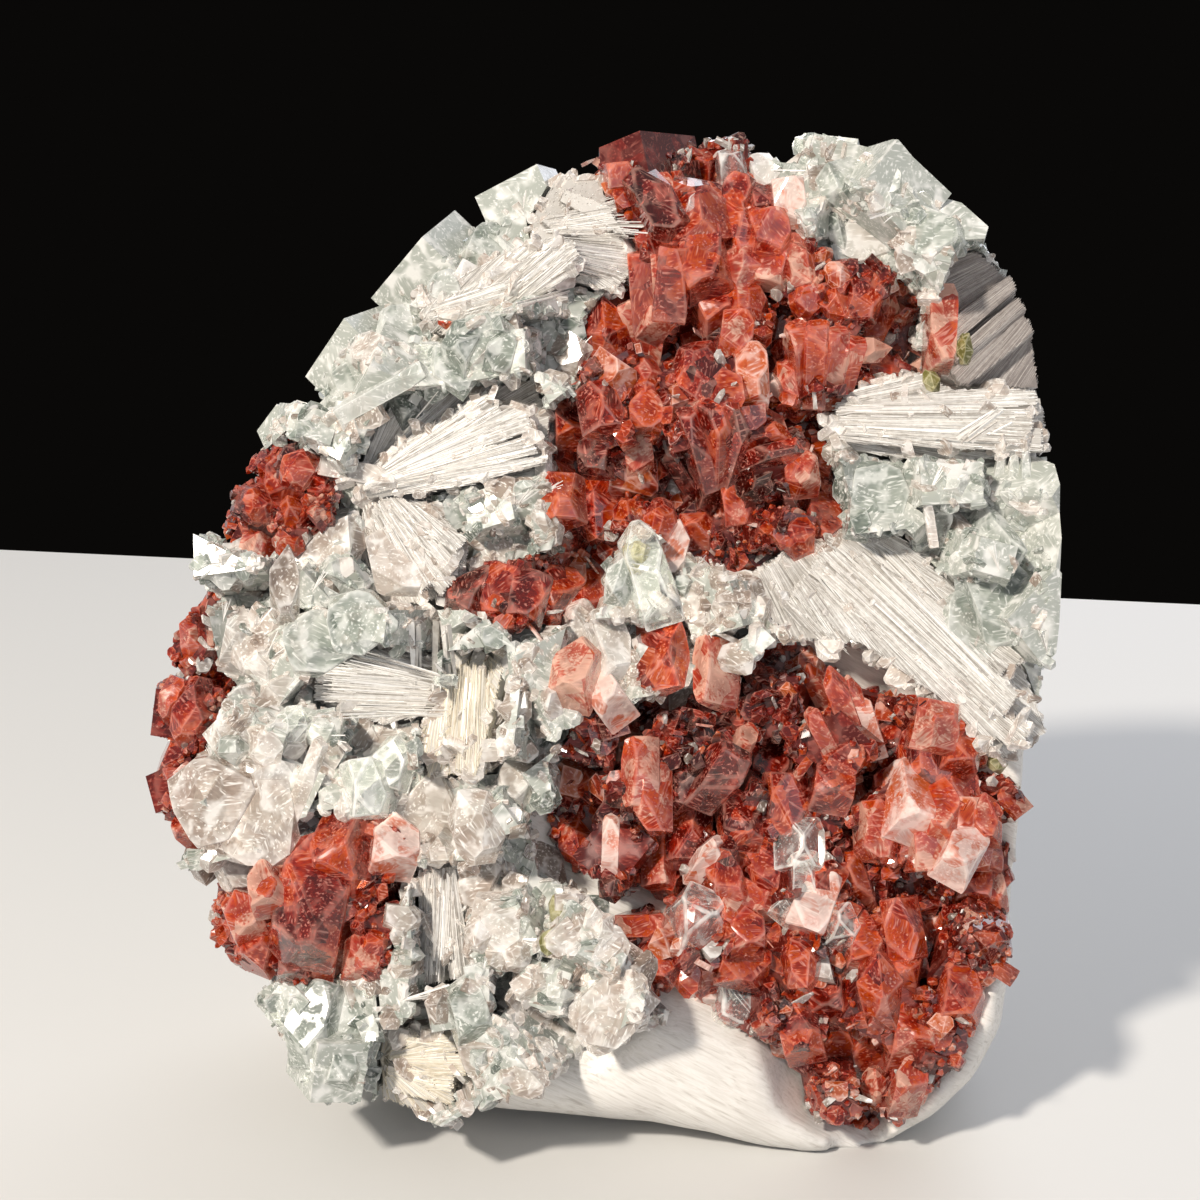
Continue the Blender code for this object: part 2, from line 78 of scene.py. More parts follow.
# The front face: how far it leans back, a point at its foot, and the ways along it, into it and out of it.
LEAN = math.radians(16.0)
FACE_ORIGIN = np.array((0.9, -38.0, 0.0))
RIGHT = np.array((1.0, 0.0, 0.0))
INTO = np.array((0.0, math.cos(LEAN), -math.sin(LEAN)))
UP = np.array((0.0, math.sin(LEAN), math.cos(LEAN)))
OUT = -INTO
# The chart: the side of a square in millimetres, and the column and row of the point at the face's foot.
CHART_SQUARE = 0.1747
CHART_FOOT = np.array((603.0, 1168.0))
# The camera, square to the face and so far off that the chart fills its frame.
LENS = 60.0
SENSOR = 36.0
FRAME_SQUARES = 1200.0
FRAME_MIDDLE = (FRAME_SQUARES / 2, FRAME_SQUARES / 2)
CAMERA_AWAY = FRAME_SQUARES * CHART_SQUARE * LENS / SENSOR
# How far inside the model's box the crystals keep, in millimetres.
BOX_MARGIN = 0.05
BODY = "root"
STAINED = "red_apophyllite"
GREENISH = "green_apophyllite"
COLOURLESS = "clear_apophyllite"
APOPHYLLITE_IOR = 1.535
SCOLECITE_IOR = 1.51
COAT_ROUGHNESS = 0.04
SHORTEST = 1e-9


def linear(code: str) -> tuple[float, float, float, float]:
    """Turns an sRGB hex colour into the linear colour that a shader takes.

    Args:
        code: Six hex digits, with or without a leading hash.

    Returns:
        Red, green, blue and alpha, with alpha at one.
    """
    digits = code.lstrip("#")
    parts = [int(digits[i : i + 2], 16) / 255 for i in (0, 2, 4)]
    low, slope, offset, power = 0.04045, 12.92, 0.055, 2.4
    red, green, blue = [p / slope if p <= low else ((p + offset) / (1 + offset)) ** power for p in parts]
    return red, green, blue, 1.0


def per_metre(size: float) -> float:
    """The texture scale whose pattern repeats about every size millimetres."""
    return 1 / (size * MM)


def on_face(chart: tuple[float, float], depth: float = 0.0) -> np.ndarray:
    """Finds the place of a chart square.

    Args:
        chart: Column and row on the chart.
        depth: Millimetres into the stone from the polished face.

    Returns:
        The place in the object's frame, in millimetres.
    """
    x = (chart[0] - CHART_FOOT[0]) * CHART_SQUARE
    v = (CHART_FOOT[1] - chart[1]) * CHART_SQUARE
    return FACE_ORIGIN + x * RIGHT + v * UP + depth * INTO


def to_chart(points: np.ndarray) -> np.ndarray:
    """Finds the chart squares of places.

    Args:
        points: Places in the object's frame, in millimetres.

    Returns:
        Their columns and rows on the chart.
    """
    local = points - FACE_ORIGIN
    squares = np.stack([local @ RIGHT, -(local @ UP)], axis=-1) / CHART_SQUARE
    return squares + CHART_FOOT


def unit(vectors: np.ndarray) -> np.ndarray:
    """The same directions at length one."""
    return vectors / np.maximum(np.linalg.norm(vectors, axis=-1, keepdims=True), SHORTEST)


def within(pair: tuple[float, float], share: object) -> object:
    """What lies at a share of the way from the first of two values to the second."""
    return pair[0] + (pair[1] - pair[0]) * share


def add_node(tree: Tree, kind: str, inputs: dict | tuple = (), stops: tuple = (),
             **settings: object) -> bpy.types.Node:
    """Adds one shader node.

    Args:
        tree: The node tree that it goes in.
        kind: Blender's type name of the node.
        inputs: What goes in, in the inputs' order or by their names or numbers: values, sockets that feed
            them, or nodes whose first socket does.
        stops: Pairs of a position from 0 to 1 and a hex colour, where the node is a colour ramp.
        settings: The node's own properties.

    Returns:
        The new node.
    """
    node = tree.nodes.new(kind)
    for name, value in settings.items():
        setattr(node, name, value)
    for name, value in inputs.items() if isinstance(inputs, dict) else enumerate(inputs):
        if isinstance(value, (Socket, bpy.types.Node)):
            tree.links.new(value if isinstance(value, Socket) else value.outputs[0], node.inputs[name])
        else:
            node.inputs[name].default_value = value
    if stops:
        elements = node.color_ramp.elements
        while len(elements) < len(stops):
            elements.new(1.0)
        for element, (place, code) in zip(elements, stops):
            element.position, element.color = place, linear(code)
    return node


@dataclass(frozen=True)
class Finish:
    """A material under its name, with the stops of its colour ramp."""

    name: str
    stops: tuple

    def material(self) -> bpy.types.Material:
        """Builds the material once.

        Returns:
            The material, and the same one when it is asked for again.
        """
        made = bpy.data.materials.get(self.name)
        if made is None:
            made = bpy.data.materials.new(self.name)
            made.use_nodes = True
            tree = made.node_tree
            tree.nodes.clear()
            place = add_node(tree, "ShaderNodeTexCoord").outputs["Object"]
            shader = add_node(tree, "ShaderNodeBsdfPrincipled", self.surface(tree, place))
            add_node(tree, "ShaderNodeOutputMaterial", {"Surface": shader, **self.depth(tree)})
        return made

    def surface(self, tree: Tree, place: Socket) -> dict:
        """Adds the nodes that colour and roughen the surface.

        Args:
            tree: The material's node tree.
            place: The place on the piece.

        Returns:
            What the shader takes, by the names of its inputs.
        """
        raise NotImplementedError

    def depth(self, tree: Tree) -> dict:
        """Gives what the output takes for the inside, which is nothing in most finishes."""
        return {}


@dataclass(frozen=True)
class CrystalFinish(Finish):
    """A grown crystal: glassy faces over a body that is clear, milky or stained.

    The tint attribute picks the colour of each crystal from the stops, reach runs from root to tip, and rim
    runs from the middle of a face to its edge. Root is the colour near the root and amid the faces. Frost is
    that of flaws and striae, and the same colour is painted along the edges of the faces as a highlight.
    """

    root: str
    frost_and_edge_highlight: str
    roughness: float = 0.1
    transmission: float = 0.0
    root_share: float = 0.5
    deep_share: float = 0.3
    edge_highlight_share: float = 0.5
    # How much of the frost colour is painted along the edges of the faces as a highlight.
    frost_share: float = 0.3
    streak_share: float = 0.4
    coat: float = 0.0
    cloud: float = 3.0
    absorb: str = ""
    density: float = 0.0

    CLOUD_GRAIN = {"Detail": 2.0, "Roughness": 0.7}
    CLOUD_SPREAD = 0.7
    CELL = 3.2
    CELL_SPREAD = 0.45
    CELL_BEND = 0.6
    STREAK = 0.45
    STREAK_SPREAD = 0.5
    STREAK_DRAWN = 0.12
    CRACK = 0.55
    ROOT_RISE = (0.75, 0.1)
    DEEP_RISE = (0.9, 0.1)
    # Where the painted edge highlight begins, and how far its line wanders.
    EDGE_HIGHLIGHT_SPREAD = 0.6
    EDGE_HIGHLIGHT_RISE = (0.82, 1.08)
    FLAW_RISE = (0.82, 1.0)
    STREAK_RISE = (0.56, 0.7)
    DULL_RISE = (0.7, 1.0)
    DULLNESS = 0.22

    def surface(self, tree: Tree, place: Socket) -> dict:
        """Adds the nodes that colour and roughen the surface.

        Args:
            tree: The material's node tree.
            place: The place on the piece.

        Returns:
            What the shader takes, by the names of its inputs.
        """
        add = partial(add_node, tree)
        tint, reach, rim = [add("ShaderNodeAttribute", attribute_name=name).outputs["Fac"]
                            for name in ("tint", "reach", "rim")]
        cloud = add("ShaderNodeTexNoise",
                    {"Vector": place, "Scale": per_metre(self.cloud), **self.CLOUD_GRAIN})
        cell, crack, streak = self.inner_grain(tree, place, cloud)
        flaw = add("ShaderNodeMath", (crack, self.CRACK, cloud), operation="MULTIPLY_ADD")
        whole = tint
        spreads = (self.CLOUD_SPREAD, self.CELL_SPREAD, self.STREAK_SPREAD)
        for value, spread in zip((cloud, cell, streak), spreads):
            evenly = add("ShaderNodeMath", (value, spread, -spread / 2), operation="MULTIPLY_ADD")
            whole = add("ShaderNodeMath", (whole, evenly), operation="ADD")
        rootward = add("ShaderNodeMapRange", (reach, *self.ROOT_RISE, 0.0, self.root_share))
        inward = add("ShaderNodeMapRange", (rim, *self.DEEP_RISE, 0.0, self.deep_share))
        deep = add("ShaderNodeMath", (rootward, inward), operation="MAXIMUM")
        ramp = add("ShaderNodeValToRGB", (whole,), stops=self.stops)
        colour = add("ShaderNodeMix", {0: deep, 6: ramp, 7: linear(self.root)}, data_type="RGBA").outputs[2]
        # Painted highlight: the frost colour laid along the edges of each face.
        evenly = add("ShaderNodeMath", (cloud, self.EDGE_HIGHLIGHT_SPREAD, -self.EDGE_HIGHLIGHT_SPREAD / 2),
                     operation="MULTIPLY_ADD")
        edge = add("ShaderNodeMath", (rim, evenly), operation="ADD")
        painted_edge_highlight = add("ShaderNodeMapRange", (edge, *self.EDGE_HIGHLIGHT_RISE, 0.0, self.edge_highlight_share))
        frosted = add("ShaderNodeMapRange", (flaw, *self.FLAW_RISE, 0.0, self.frost_share))
        streaked = add("ShaderNodeMapRange", (streak, *self.STREAK_RISE, 0.0, self.streak_share))
        # Pale marks: real frost on flaws and striae, plus the painted edge highlight.
        pale = add("ShaderNodeMath", (painted_edge_highlight, frosted), operation="MAXIMUM")
        pale = add("ShaderNodeMath", (pale, streaked), operation="MAXIMUM")
        body = self.transmission
        if body:
            glassy = add("ShaderNodeMath", (1.0, pale), operation="SUBTRACT")
            body = add("ShaderNodeMath", (glassy, self.transmission), operation="MULTIPLY")
        dull = add("ShaderNodeMapRange", (flaw, *self.DULL_RISE, 0.0, self.DULLNESS))
        dull = add("ShaderNodeMath", (dull, self.roughness), operation="ADD")
        whitened = add("ShaderNodeMix", {0: pale, 6: colour, 7: linear(self.frost_and_edge_highlight)}, data_type="RGBA")
        return {"Base Color": whitened.outputs[2], "Roughness": dull, "IOR": APOPHYLLITE_IOR,
                "Transmission Weight": body, "Coat Weight": self.coat, "Coat Roughness": COAT_ROUGHNESS}

    def depth(self, tree: Tree) -> dict:
        """Adds what the inside takes out of light, where it does.

        Args:
            tree: The material's node tree.

        Returns:
            The volume, under the name of the output's input, or nothing.
        """
        if not self.absorb:
            return {}
        tinge = {"Color": linear(self.absorb), "Density": self.density}
        return {"Volume": add_node(tree, "ShaderNodeVolumeAbsorption", tinge)}

    def inner_grain(self, tree: Tree, place: Socket, stir: bpy.types.Node) -> tuple:
        """Adds the small grains inside a crystal, each with its own run of fine striae.

        Args:
            tree: The material's node tree.
            place: The place on the piece.
            stir: A soft noise that bends the grains' outlines.

        Returns:
            A random value per grain, how near its outline is and the striae, each from 0 to about 1.
        """
        add = partial(add_node, tree)
        bend = (self.CELL * self.CELL_BEND * MM,) * 3
        bent = add("ShaderNodeVectorMath", (stir, bend, place), operation="MULTIPLY_ADD")
        grains = add("ShaderNodeTexVoronoi", {"Vector": bent, "Scale": per_metre(self.CELL)})
        colour = grains.outputs["Color"]
        turn = add("ShaderNodeVectorMath", (colour, (math.tau,) * 3), operation="MULTIPLY")
        turned = add("ShaderNodeVectorRotate", {"Vector": place, "Rotation": turn}, rotation_type="EULER_XYZ")
        drawn = add("ShaderNodeMapping", {"Vector": turned, "Scale": (1.0, 1.0, self.STREAK_DRAWN)})
        striae = add("ShaderNodeTexNoise", {"Vector": drawn, "Scale": per_metre(self.STREAK), "Detail": 1.0})
        value = add("ShaderNodeSeparateColor", {"Color": colour}).outputs["Red"]
        return value, grains.outputs["Distance"], striae


@dataclass(frozen=True)
class FibreFinish(Finish):
    """Silky needles lying side by side: white, with glossy sides and cream or rusty strands."""

    root: str
    root_share: float = 0.25
    roughness: float = 0.32

    STRAND = 0.9
    STRAND_SPREAD = 0.6
    ROOT_RISE = (0.5, 0.0)
    GLOSS = 0.6

    def surface(self, tree: Tree, place: Socket) -> dict:
        """Adds the nodes that colour and roughen the surface.

        Args:
            tree: The material's node tree.
            place: The place on the piece.

        Returns:
            What the shader takes, by the names of its inputs.
        """
        add = partial(add_node, tree)
        tint, reach = [add("ShaderNodeAttribute", attribute_name=name).outputs["Fac"]
                       for name in ("tint", "reach")]
        strand = add("ShaderNodeTexNoise",
                     {"Vector": place, "Scale": per_metre(self.STRAND), "Detail": 1.0})
        evenly = add("ShaderNodeMath", (strand, self.STRAND_SPREAD, -self.STRAND_SPREAD / 2),
                     operation="MULTIPLY_ADD")
        whole = add("ShaderNodeMath", (tint, evenly), operation="ADD")
        ramp = add("ShaderNodeValToRGB", (whole,), stops=self.stops)
        rootward = add("ShaderNodeMapRange", (reach, *self.ROOT_RISE, 0.0, self.root_share))
        colour = add("ShaderNodeMix", {0: rootward, 6: ramp, 7: linear(self.root)}, data_type="RGBA")
        return {"Base Color": colour.outputs[2], "Roughness": self.roughness, "IOR": SCOLECITE_IOR,
                "Specular IOR Level": self.GLOSS}


@dataclass(frozen=True)
class PolishedStoneFinish(Finish):
    """Massive zeolite, sawn and polished: white, with a fibrous grain and greyer clouds."""

    haze: str
    grain_turn: float = math.radians(-28.0)
    grain_width: float = 0.6
    grain_length: float = 11.0
    cloud: float = 22.0
    gloss: float = 0.22

    GRAIN = {"Detail": 3.0, "Roughness": 0.6, "Distortion": 0.6}
    CLOUD_RISE = (0.5, 0.7)
    CLOUD_SHARE = 0.45
    DULLNESS = 0.25
    BUMP = {"Strength": 0.18, "Distance": 0.3 * MM}

    def surface(self, tree: Tree, place: Socket) -> dict:
        """Adds the nodes that colour and roughen the surface.

        Args:
            tree: The material's node tree.
            place: The place on the piece.

        Returns:
            What the shader takes, by the names of its inputs.
        """
        add = partial(add_node, tree)
        turned = add("ShaderNodeMapping", {"Vector": place, "Rotation": (0.0, self.grain_turn, 0.0)})
        drawn = (self.grain_width / self.grain_length, 1.0, 1.0)
        along = add("ShaderNodeMapping", {"Vector": turned, "Scale": drawn})
        grain = add("ShaderNodeTexNoise",
                    {"Vector": along, "Scale": per_metre(self.grain_width), **self.GRAIN})
        cloud = add("ShaderNodeTexNoise", {"Vector": place, "Scale": per_metre(self.cloud), "Detail": 2.0})
        cloud = add("ShaderNodeMapRange", (cloud, *self.CLOUD_RISE, 0.0, self.CLOUD_SHARE))
        ramp = add("ShaderNodeValToRGB", (grain,), stops=self.stops)
        colour = add("ShaderNodeMix", {0: cloud, 6: ramp, 7: linear(self.haze)}, data_type="RGBA").outputs[2]
        bump = add("ShaderNodeBump", {"Height": grain, **self.BUMP})
        dull = add("ShaderNodeMapRange", (grain, 0.0, 1.0, 0.0, self.DULLNESS))
        dull = add("ShaderNodeMath", (dull, self.gloss), operation="ADD")
        return {"Base Color": colour, "Roughness": dull, "IOR": SCOLECITE_IOR, "Normal": bump}


# Stained apophyllite: wet-looking, with iron oxide in its depth, frosted flaws and edges painted paler as a
# highlight.
RED = CrystalFinish(
    "iron stained apophyllite",
    ((0.0, "#340804"), (0.2, "#661209"), (0.36, "#961f0e"), (0.5, "#bd3510"), (0.62, "#dc5a1c"),
     (0.74, "#bb3a2b"), (0.88, "#d0664c"), (1.0, "#eab49d")),
    root="#5c0e05", frost_and_edge_highlight="#edb9a8", roughness=0.05, root_share=0.6, deep_share=0.4, edge_highlight_share=0.35,
    frost_share=0.18, streak_share=0.4, transmission=0.4, coat=0.5)
# The same crystal where light gets through it: ruby and orange glass.
RED_GLASS = CrystalFinish(
    "see-through stained apophyllite",
    ((0.0, "#7d2211"), (0.3, "#bd4325"), (0.56, "#e2702f"), (0.75, "#e8937a"), (1.0, "#f8e0d6")),
    root="#b0401f", frost_and_edge_highlight="#fbe9e1", roughness=0.04, transmission=0.4, root_share=0.35, deep_share=0.15,
    edge_highlight_share=0.6, frost_share=0.4, streak_share=0.4, coat=0.5)
# Where the stained crystals are buried: saturated and still glossy, and dark, partly from the stain and
# partly as painted shade in the gaps.
RED_CORE_AND_GAP_SHADE = CrystalFinish(
    "iron stained apophyllite core and painted gap shade",
    ((0.0, "#4d1009"), (0.2, "#6e1a0f"), (0.5, "#8f2c1a"), (1.0, "#b04d38")),
    root="#5a120b", frost_and_edge_highlight="#b06a5c", roughness=0.12, root_share=0.0, deep_share=0.0, edge_highlight_share=0.0,
    frost_share=0.3, coat=0.3, cloud=5.0)
# Water-clear apophyllite: bends what lies behind it, with white flaws, edges painted white as a highlight and
# a trace of green.
CLEAR = CrystalFinish(
    "clear apophyllite",
    ((0.0, "#eef1ec"), (1.0, "#fcfffc")),
    root="#f2f4f2", frost_and_edge_highlight="#f6f4f2", transmission=0.9, roughness=0.03, root_share=0.0, deep_share=0.0,
    edge_highlight_share=0.7, frost_share=0.3, streak_share=0.3, absorb="#dff0e6", density=20.0)
# Pale green apophyllite: milky, with glassy faces, edges painted whiter as a highlight and white hairlines
# inside.
GREEN = CrystalFinish(
    "pale green apophyllite",
    ((0.0, "#677169"), (0.25, "#929b93"), (0.5, "#b5bbb4"), (0.75, "#d2d5d0"), (1.0, "#ecece8")),
    root="#9aa299", frost_and_edge_highlight="#f3f3f0", roughness=0.05, root_share=0.3, deep_share=0.3, edge_highlight_share=0.55,
    frost_share=0.5, streak_share=0.7, transmission=0.45)
# Colourless apophyllite full of flaws: icy white, with a hint of rust at the root.
FROSTED = CrystalFinish(
    "frosted apophyllite",
    ((0.0, "#8e7f75"), (0.25, "#b1a398"), (0.5, "#cabfb6"), (0.75, "#dcd5ce"), (1.0, "#eeebe7")),
    root="#b39c8d", frost_and_edge_highlight="#f5f3f0", roughness=0.05, root_share=0.3, deep_share=0.25, edge_highlight_share=0.55,
    frost_share=0.6, streak_share=0.75, transmission=0.45)
# Bed under the pale crystals: icy zeolite that shows in their gaps.
PALE_CORE = CrystalFinish(
    "pale apophyllite core",
    ((0.0, "#a9ada5"), (0.3, "#c6c8c1"), (1.0, "#dedcd6")),
    root="#9a9d92", frost_and_edge_highlight="#ecebe7", roughness=0.2, root_share=0.0, deep_share=0.0, edge_highlight_share=0.0,
    frost_share=0.8, streak_share=0.8, cloud=4.0)
# Olive clay minerals that sit in small nests among the crystals.
OLIVE = CrystalFinish(
    "olive stained apophyllite",
    ((0.0, "#4a4a22"), (0.4, "#6f6c3a"), (0.7, "#8f8a58"), (1.0, "#b9b490")),
    root="#4c4a24", frost_and_edge_highlight="#d8d2b4", roughness=0.25, frost_share=0.5)
# Scolecite needles: silky and white, with a greyer strand here and there.
SILK = FibreFinish(
    "silky scolecite",
    ((0.0, "#969089"), (0.3, "#bdb8b2"), (0.5, "#d6d3ce"), (0.8, "#eceae6"), (1.0, "#f6f5f3")),
    root="#d2cac0")
# Scolecite that iron has tinged: cream, and yellower at the root.
CREAM = FibreFinish(
    "cream scolecite",
    ((0.0, "#bfb39c"), (0.3, "#d6cdba"), (0.6, "#e4ddcf"), (1.0, "#eeebe2")),
    root="#d3c6ae")
# Sawn scolecite at the polished corner: greyer, since the ends of its fibres are ground away.
WORN_SILK = FibreFinish(
    "worn scolecite",
    ((0.0, "#7e7672"), (0.3, "#9a928d"), (0.6, "#aca5a0"), (1.0, "#c2bcb6")),
    root="#8d8580", roughness=0.3)
# Under the needles: duller and greyer than they are, so that they stand out from it.
SILK_CORE = FibreFinish(
    "massive scolecite",
    ((0.0, "#bdb9b3"), (0.5, "#d3d0cb"), (1.0, "#e2e0dc")),
    root="#d8cdbd", root_share=0.0, roughness=0.5)
# The sawn and polished body: white, waxy and fibrous, with grey or rosy clouds.
STONE = PolishedStoneFinish(
    "polished massive zeolite",
    ((0.28, "#c3bdb6"), (0.42, "#dcd8d1"), (0.6, "#ebe8e3"), (0.78, "#d8cfc7")), haze="#c9c2bd")
LOOKS = (RED, RED_GLASS, CLEAR, GREEN, FROSTED, OLIVE, SILK)


class Look(IntEnum):
    """Finish numbers in the order of the finishes that every crystal piece carries."""

    RED = 0
    RUBY = 1
    CLEAR = 2
    GREEN = 3
    FROSTED = 4
    OLIVE = 5
    SILK = 6


@dataclass(frozen=True)
class Template:
    """One crystal shape at unit size, standing on its root and reaching up Z."""

    points: np.ndarray
    faces: np.ndarray
    reach: np.ndarray
    rim: np.ndarray


class Form(Enum):
    """The shapes that a crystal grows in."""

    BLOCK = "block"
    TABLET = "tablet"
    PLATE = "plate"
    SPIRE = "spire"
    SHARD = "shard"
    BLADE = "blade"
    NUGGET = "nugget"
    NEEDLE = "needle"


FORM_SIZE = {
    Form.BLOCK: (1.0, 1.0, 1.05),
    Form.TABLET: (1.15, 1.0, 0.5),
    Form.PLATE: (1.2, 1.0, 0.26),
    Form.SPIRE: (0.85, 0.85, 1.0),
    Form.SHARD: (0.6, 0.75, 1.7),
    Form.BLADE: (1.1, 0.28, 1.4),
}
VARIANTS = 6
WORN_EDGE = 0.03
BROAD_FACE = 0.03
PLAIN_RIM = 0.6
MERGE = 1e-3
FLAT_WITHIN = math.radians(1.0)
UPWARD = 0.9
NEAR_RIGHT = 0.9
KIT_SEED = 7

CORNER_DEPTH = (0.12, 0.42)
CORNER_LEAN = (-0.3, 0.3)
CORNER_RISE = (0.7, 1.3)
MOST_FLAWS = 2
FLAW_RISE = 0.5
FLAW_DEPTH = (0.42, 0.52)
NEEDLE_SIDES = 3
NEEDLE_ROOT = 0.5
NEEDLE_TIP = 0.35
NUGGET_RADIUS = 0.6
NUGGET_CUTS = 9
NUGGET_DEPTH = (0.4, 0.5)
SPIRE_RISE = (0.3, 0.5)
SPIRE_TIP = 0.12
SPIRE_DROP = 0.1
PLATE_CUTS = 3
PLATE_LEAN = (-0.3, 0.5)
PLATE_DEPTH = (0.36, 0.5)


def cut_off(bm: bmesh.types.BMesh, place: Vector, facing: Vector) -> None:
    """Splits off all that lies beyond a plane, and closes the cut with one flat face.

    Args:
        bm: The crystal.
        place: A point of the plane.
        facing: The plane's direction, towards what is taken away.
    """
    whole = bm.verts[:] + bm.edges[:] + bm.faces[:]
    found = bmesh.ops.bisect_plane(bm, geom=whole, plane_co=place, plane_no=facing, clear_outer=True)
    rim = [e for e in found["geom_cut"] if isinstance(e, bmesh.types.BMEdge)]
    if rim:
        bmesh.ops.edgeloop_fill(bm, edges=rim)


def cut_corners(bm: bmesh.types.BMesh, size: Vector, dice: Dice) -> None:
    """Takes the four upper corners and a few flaws off a block.

    Args:
        bm: The block.
        size: Its size along each axis.
        dice: Where the cuts come from.
    """
    for x in (-1, 1):
        for y in (-1, 1):
            depth = dice.uniform(*CORNER_DEPTH)
            corner = Vector((x * size.x, y * size.y, size.z)) / 2
            lean = (x + dice.uniform(*CORNER_LEAN), y + dice.uniform(*CORNER_LEAN))
            cut_off(bm, corner * (1 - depth), Vector((*lean, dice.uniform(*CORNER_RISE))).normalized())
    for _ in range(dice.integers(0, MOST_FLAWS + 1)):
        facing = Vector(dice.normal(size=3)).normalized()
        facing.z = abs(facing.z) * FLAW_RISE
        cut_off(bm, facing.normalized() * dice.uniform(*FLAW_DEPTH), facing)


def draw_out_tip(bm: bmesh.types.BMesh, dice: Dice) -> None:
    """Raises a block's top into a point.

    Args:
        bm: The block.
        dice: Where the point's height comes from.
    """
    top = [v for v in bm.verts if v.co.z > 0]
    cap = [f for f in bm.faces if f.normal.z > UPWARD]
    raised = bmesh.ops.extrude_face_region(bm, geom=cap)["geom"]
    bmesh.ops.delete(bm, geom=cap, context="FACES_ONLY")
    raised = [v for v in raised if isinstance(v, bmesh.types.BMVert)]
    bmesh.ops.translate(bm, verts=raised, vec=(0.0, 0.0, dice.uniform(*SPIRE_RISE)))
    bmesh.ops.scale(bm, verts=raised, vec=(SPIRE_TIP, SPIRE_TIP, 1.0))
    bmesh.ops.translate(bm, verts=top, vec=(0.0, 0.0, -SPIRE_DROP))


def rough_form(bm: bmesh.types.BMesh, form: Form, dice: Dice) -> None:
    """Cuts a form from a block, a ball or a cone.

    Args:
        bm: An empty mesh, which takes the crystal.
        form: The shape that it takes.
        dice: Where its cuts come from.
    """
    if form is Form.NEEDLE:
        bmesh.ops.create_cone(bm, cap_ends=True, segments=NEEDLE_SIDES, radius1=NEEDLE_ROOT,
                              radius2=NEEDLE_TIP, depth=1.0)
        return
    if form is Form.NUGGET:
        bmesh.ops.create_icosphere(bm, subdivisions=1, radius=NUGGET_RADIUS)
        for _ in range(NUGGET_CUTS):
            facing = Vector(dice.normal(size=3)).normalized()
            cut_off(bm, facing * dice.uniform(*NUGGET_DEPTH), facing)
        return
    size = Vector(FORM_SIZE[form])
    bmesh.ops.create_cube(bm, size=1.0)
    bmesh.ops.scale(bm, verts=bm.verts[:], vec=size)
    if form is Form.SPIRE:
        draw_out_tip(bm, dice)
    cut_corners(bm, size, dice)
    for _ in range(PLATE_CUTS if form is Form.PLATE else 0):
        turn = dice.uniform(0, math.tau)
        facing = Vector((math.cos(turn), math.sin(turn), dice.uniform(*PLATE_LEAN))).normalized()
        cut_off(bm, facing * dice.uniform(*PLATE_DEPTH), facing)


def grow_form(form: Form, dice: Dice, worn: float = 0.0, plain: bool = False) -> Template:
    """Models one crystal.

    Args:
        form: The shape that it takes.
        dice: Where its flaws come from.
        worn: How wide its edges are rubbed, as a share of its size.
        plain: Whether it is too small to need a middle in each face.

    Returns:
        The crystal as triangles, with its root at the origin's level.
    """
    bm = bmesh.new()
    rough_form(bm, form, dice)
    bmesh.ops.remove_doubles(bm, verts=bm.verts[:], dist=MERGE)
    if form is not Form.NEEDLE:
        bmesh.ops.dissolve_limit(bm, angle_limit=FLAT_WITHIN, verts=bm.verts[:], edges=bm.edges[:])
    if worn:
        bmesh.ops.bevel(bm, geom=bm.edges[:], offset=worn, segments=1, profile=0.5, affect="EDGES",
                        clamp_overlap=True)
        bmesh.ops.remove_doubles(bm, verts=bm.verts[:], dist=MERGE)
    plain = plain or form is Form.NEEDLE
    broad = [] if plain else [f for f in bm.faces if f.calc_area() > BROAD_FACE]
    middles = set(bmesh.ops.poke(bm, faces=broad, center_mode="MEAN")["verts"]) if broad else set()
    bmesh.ops.triangulate(bm, faces=[f for f in bm.faces if len(f.verts) > 3])
    bmesh.ops.recalc_face_normals(bm, faces=bm.faces[:])
    bm.verts.index_update()
    points = np.array([v.co[:] for v in bm.verts])
    rim = np.array([0.0 if v in middles else PLAIN_RIM if plain else 1.0 for v in bm.verts])
    points[:, 2] -= points[:, 2].min()
    faces = np.array([[v.index for v in f.verts] for f in bm.faces])
    bm.free()
    return Template(points, faces, points[:, 2] / points[:, 2].max(), rim)


class Kit:
    """The templates of every form in a few variants. The later half of the small ones is plain."""

    def __init__(self, seed: int) -> None:
        """Grows them all.

        Args:
            seed: What every cut is drawn from.
        """
        dice = np.random.default_rng(seed)
        self.small = {form: [grow_form(form, dice, plain=i >= VARIANTS) for i in range(2 * VARIANTS)]
                      for form in Form}
        self.large = {form: [grow_form(form, dice, WORN_EDGE) for _ in range(VARIANTS)]
                      for form in Form if form is not Form.NEEDLE}

    def height(self, shape: tuple) -> float:
        """How tall a small crystal of this form and variant is at unit size."""
        return self.small[shape[0]][shape[1]].points[:, 2].max()


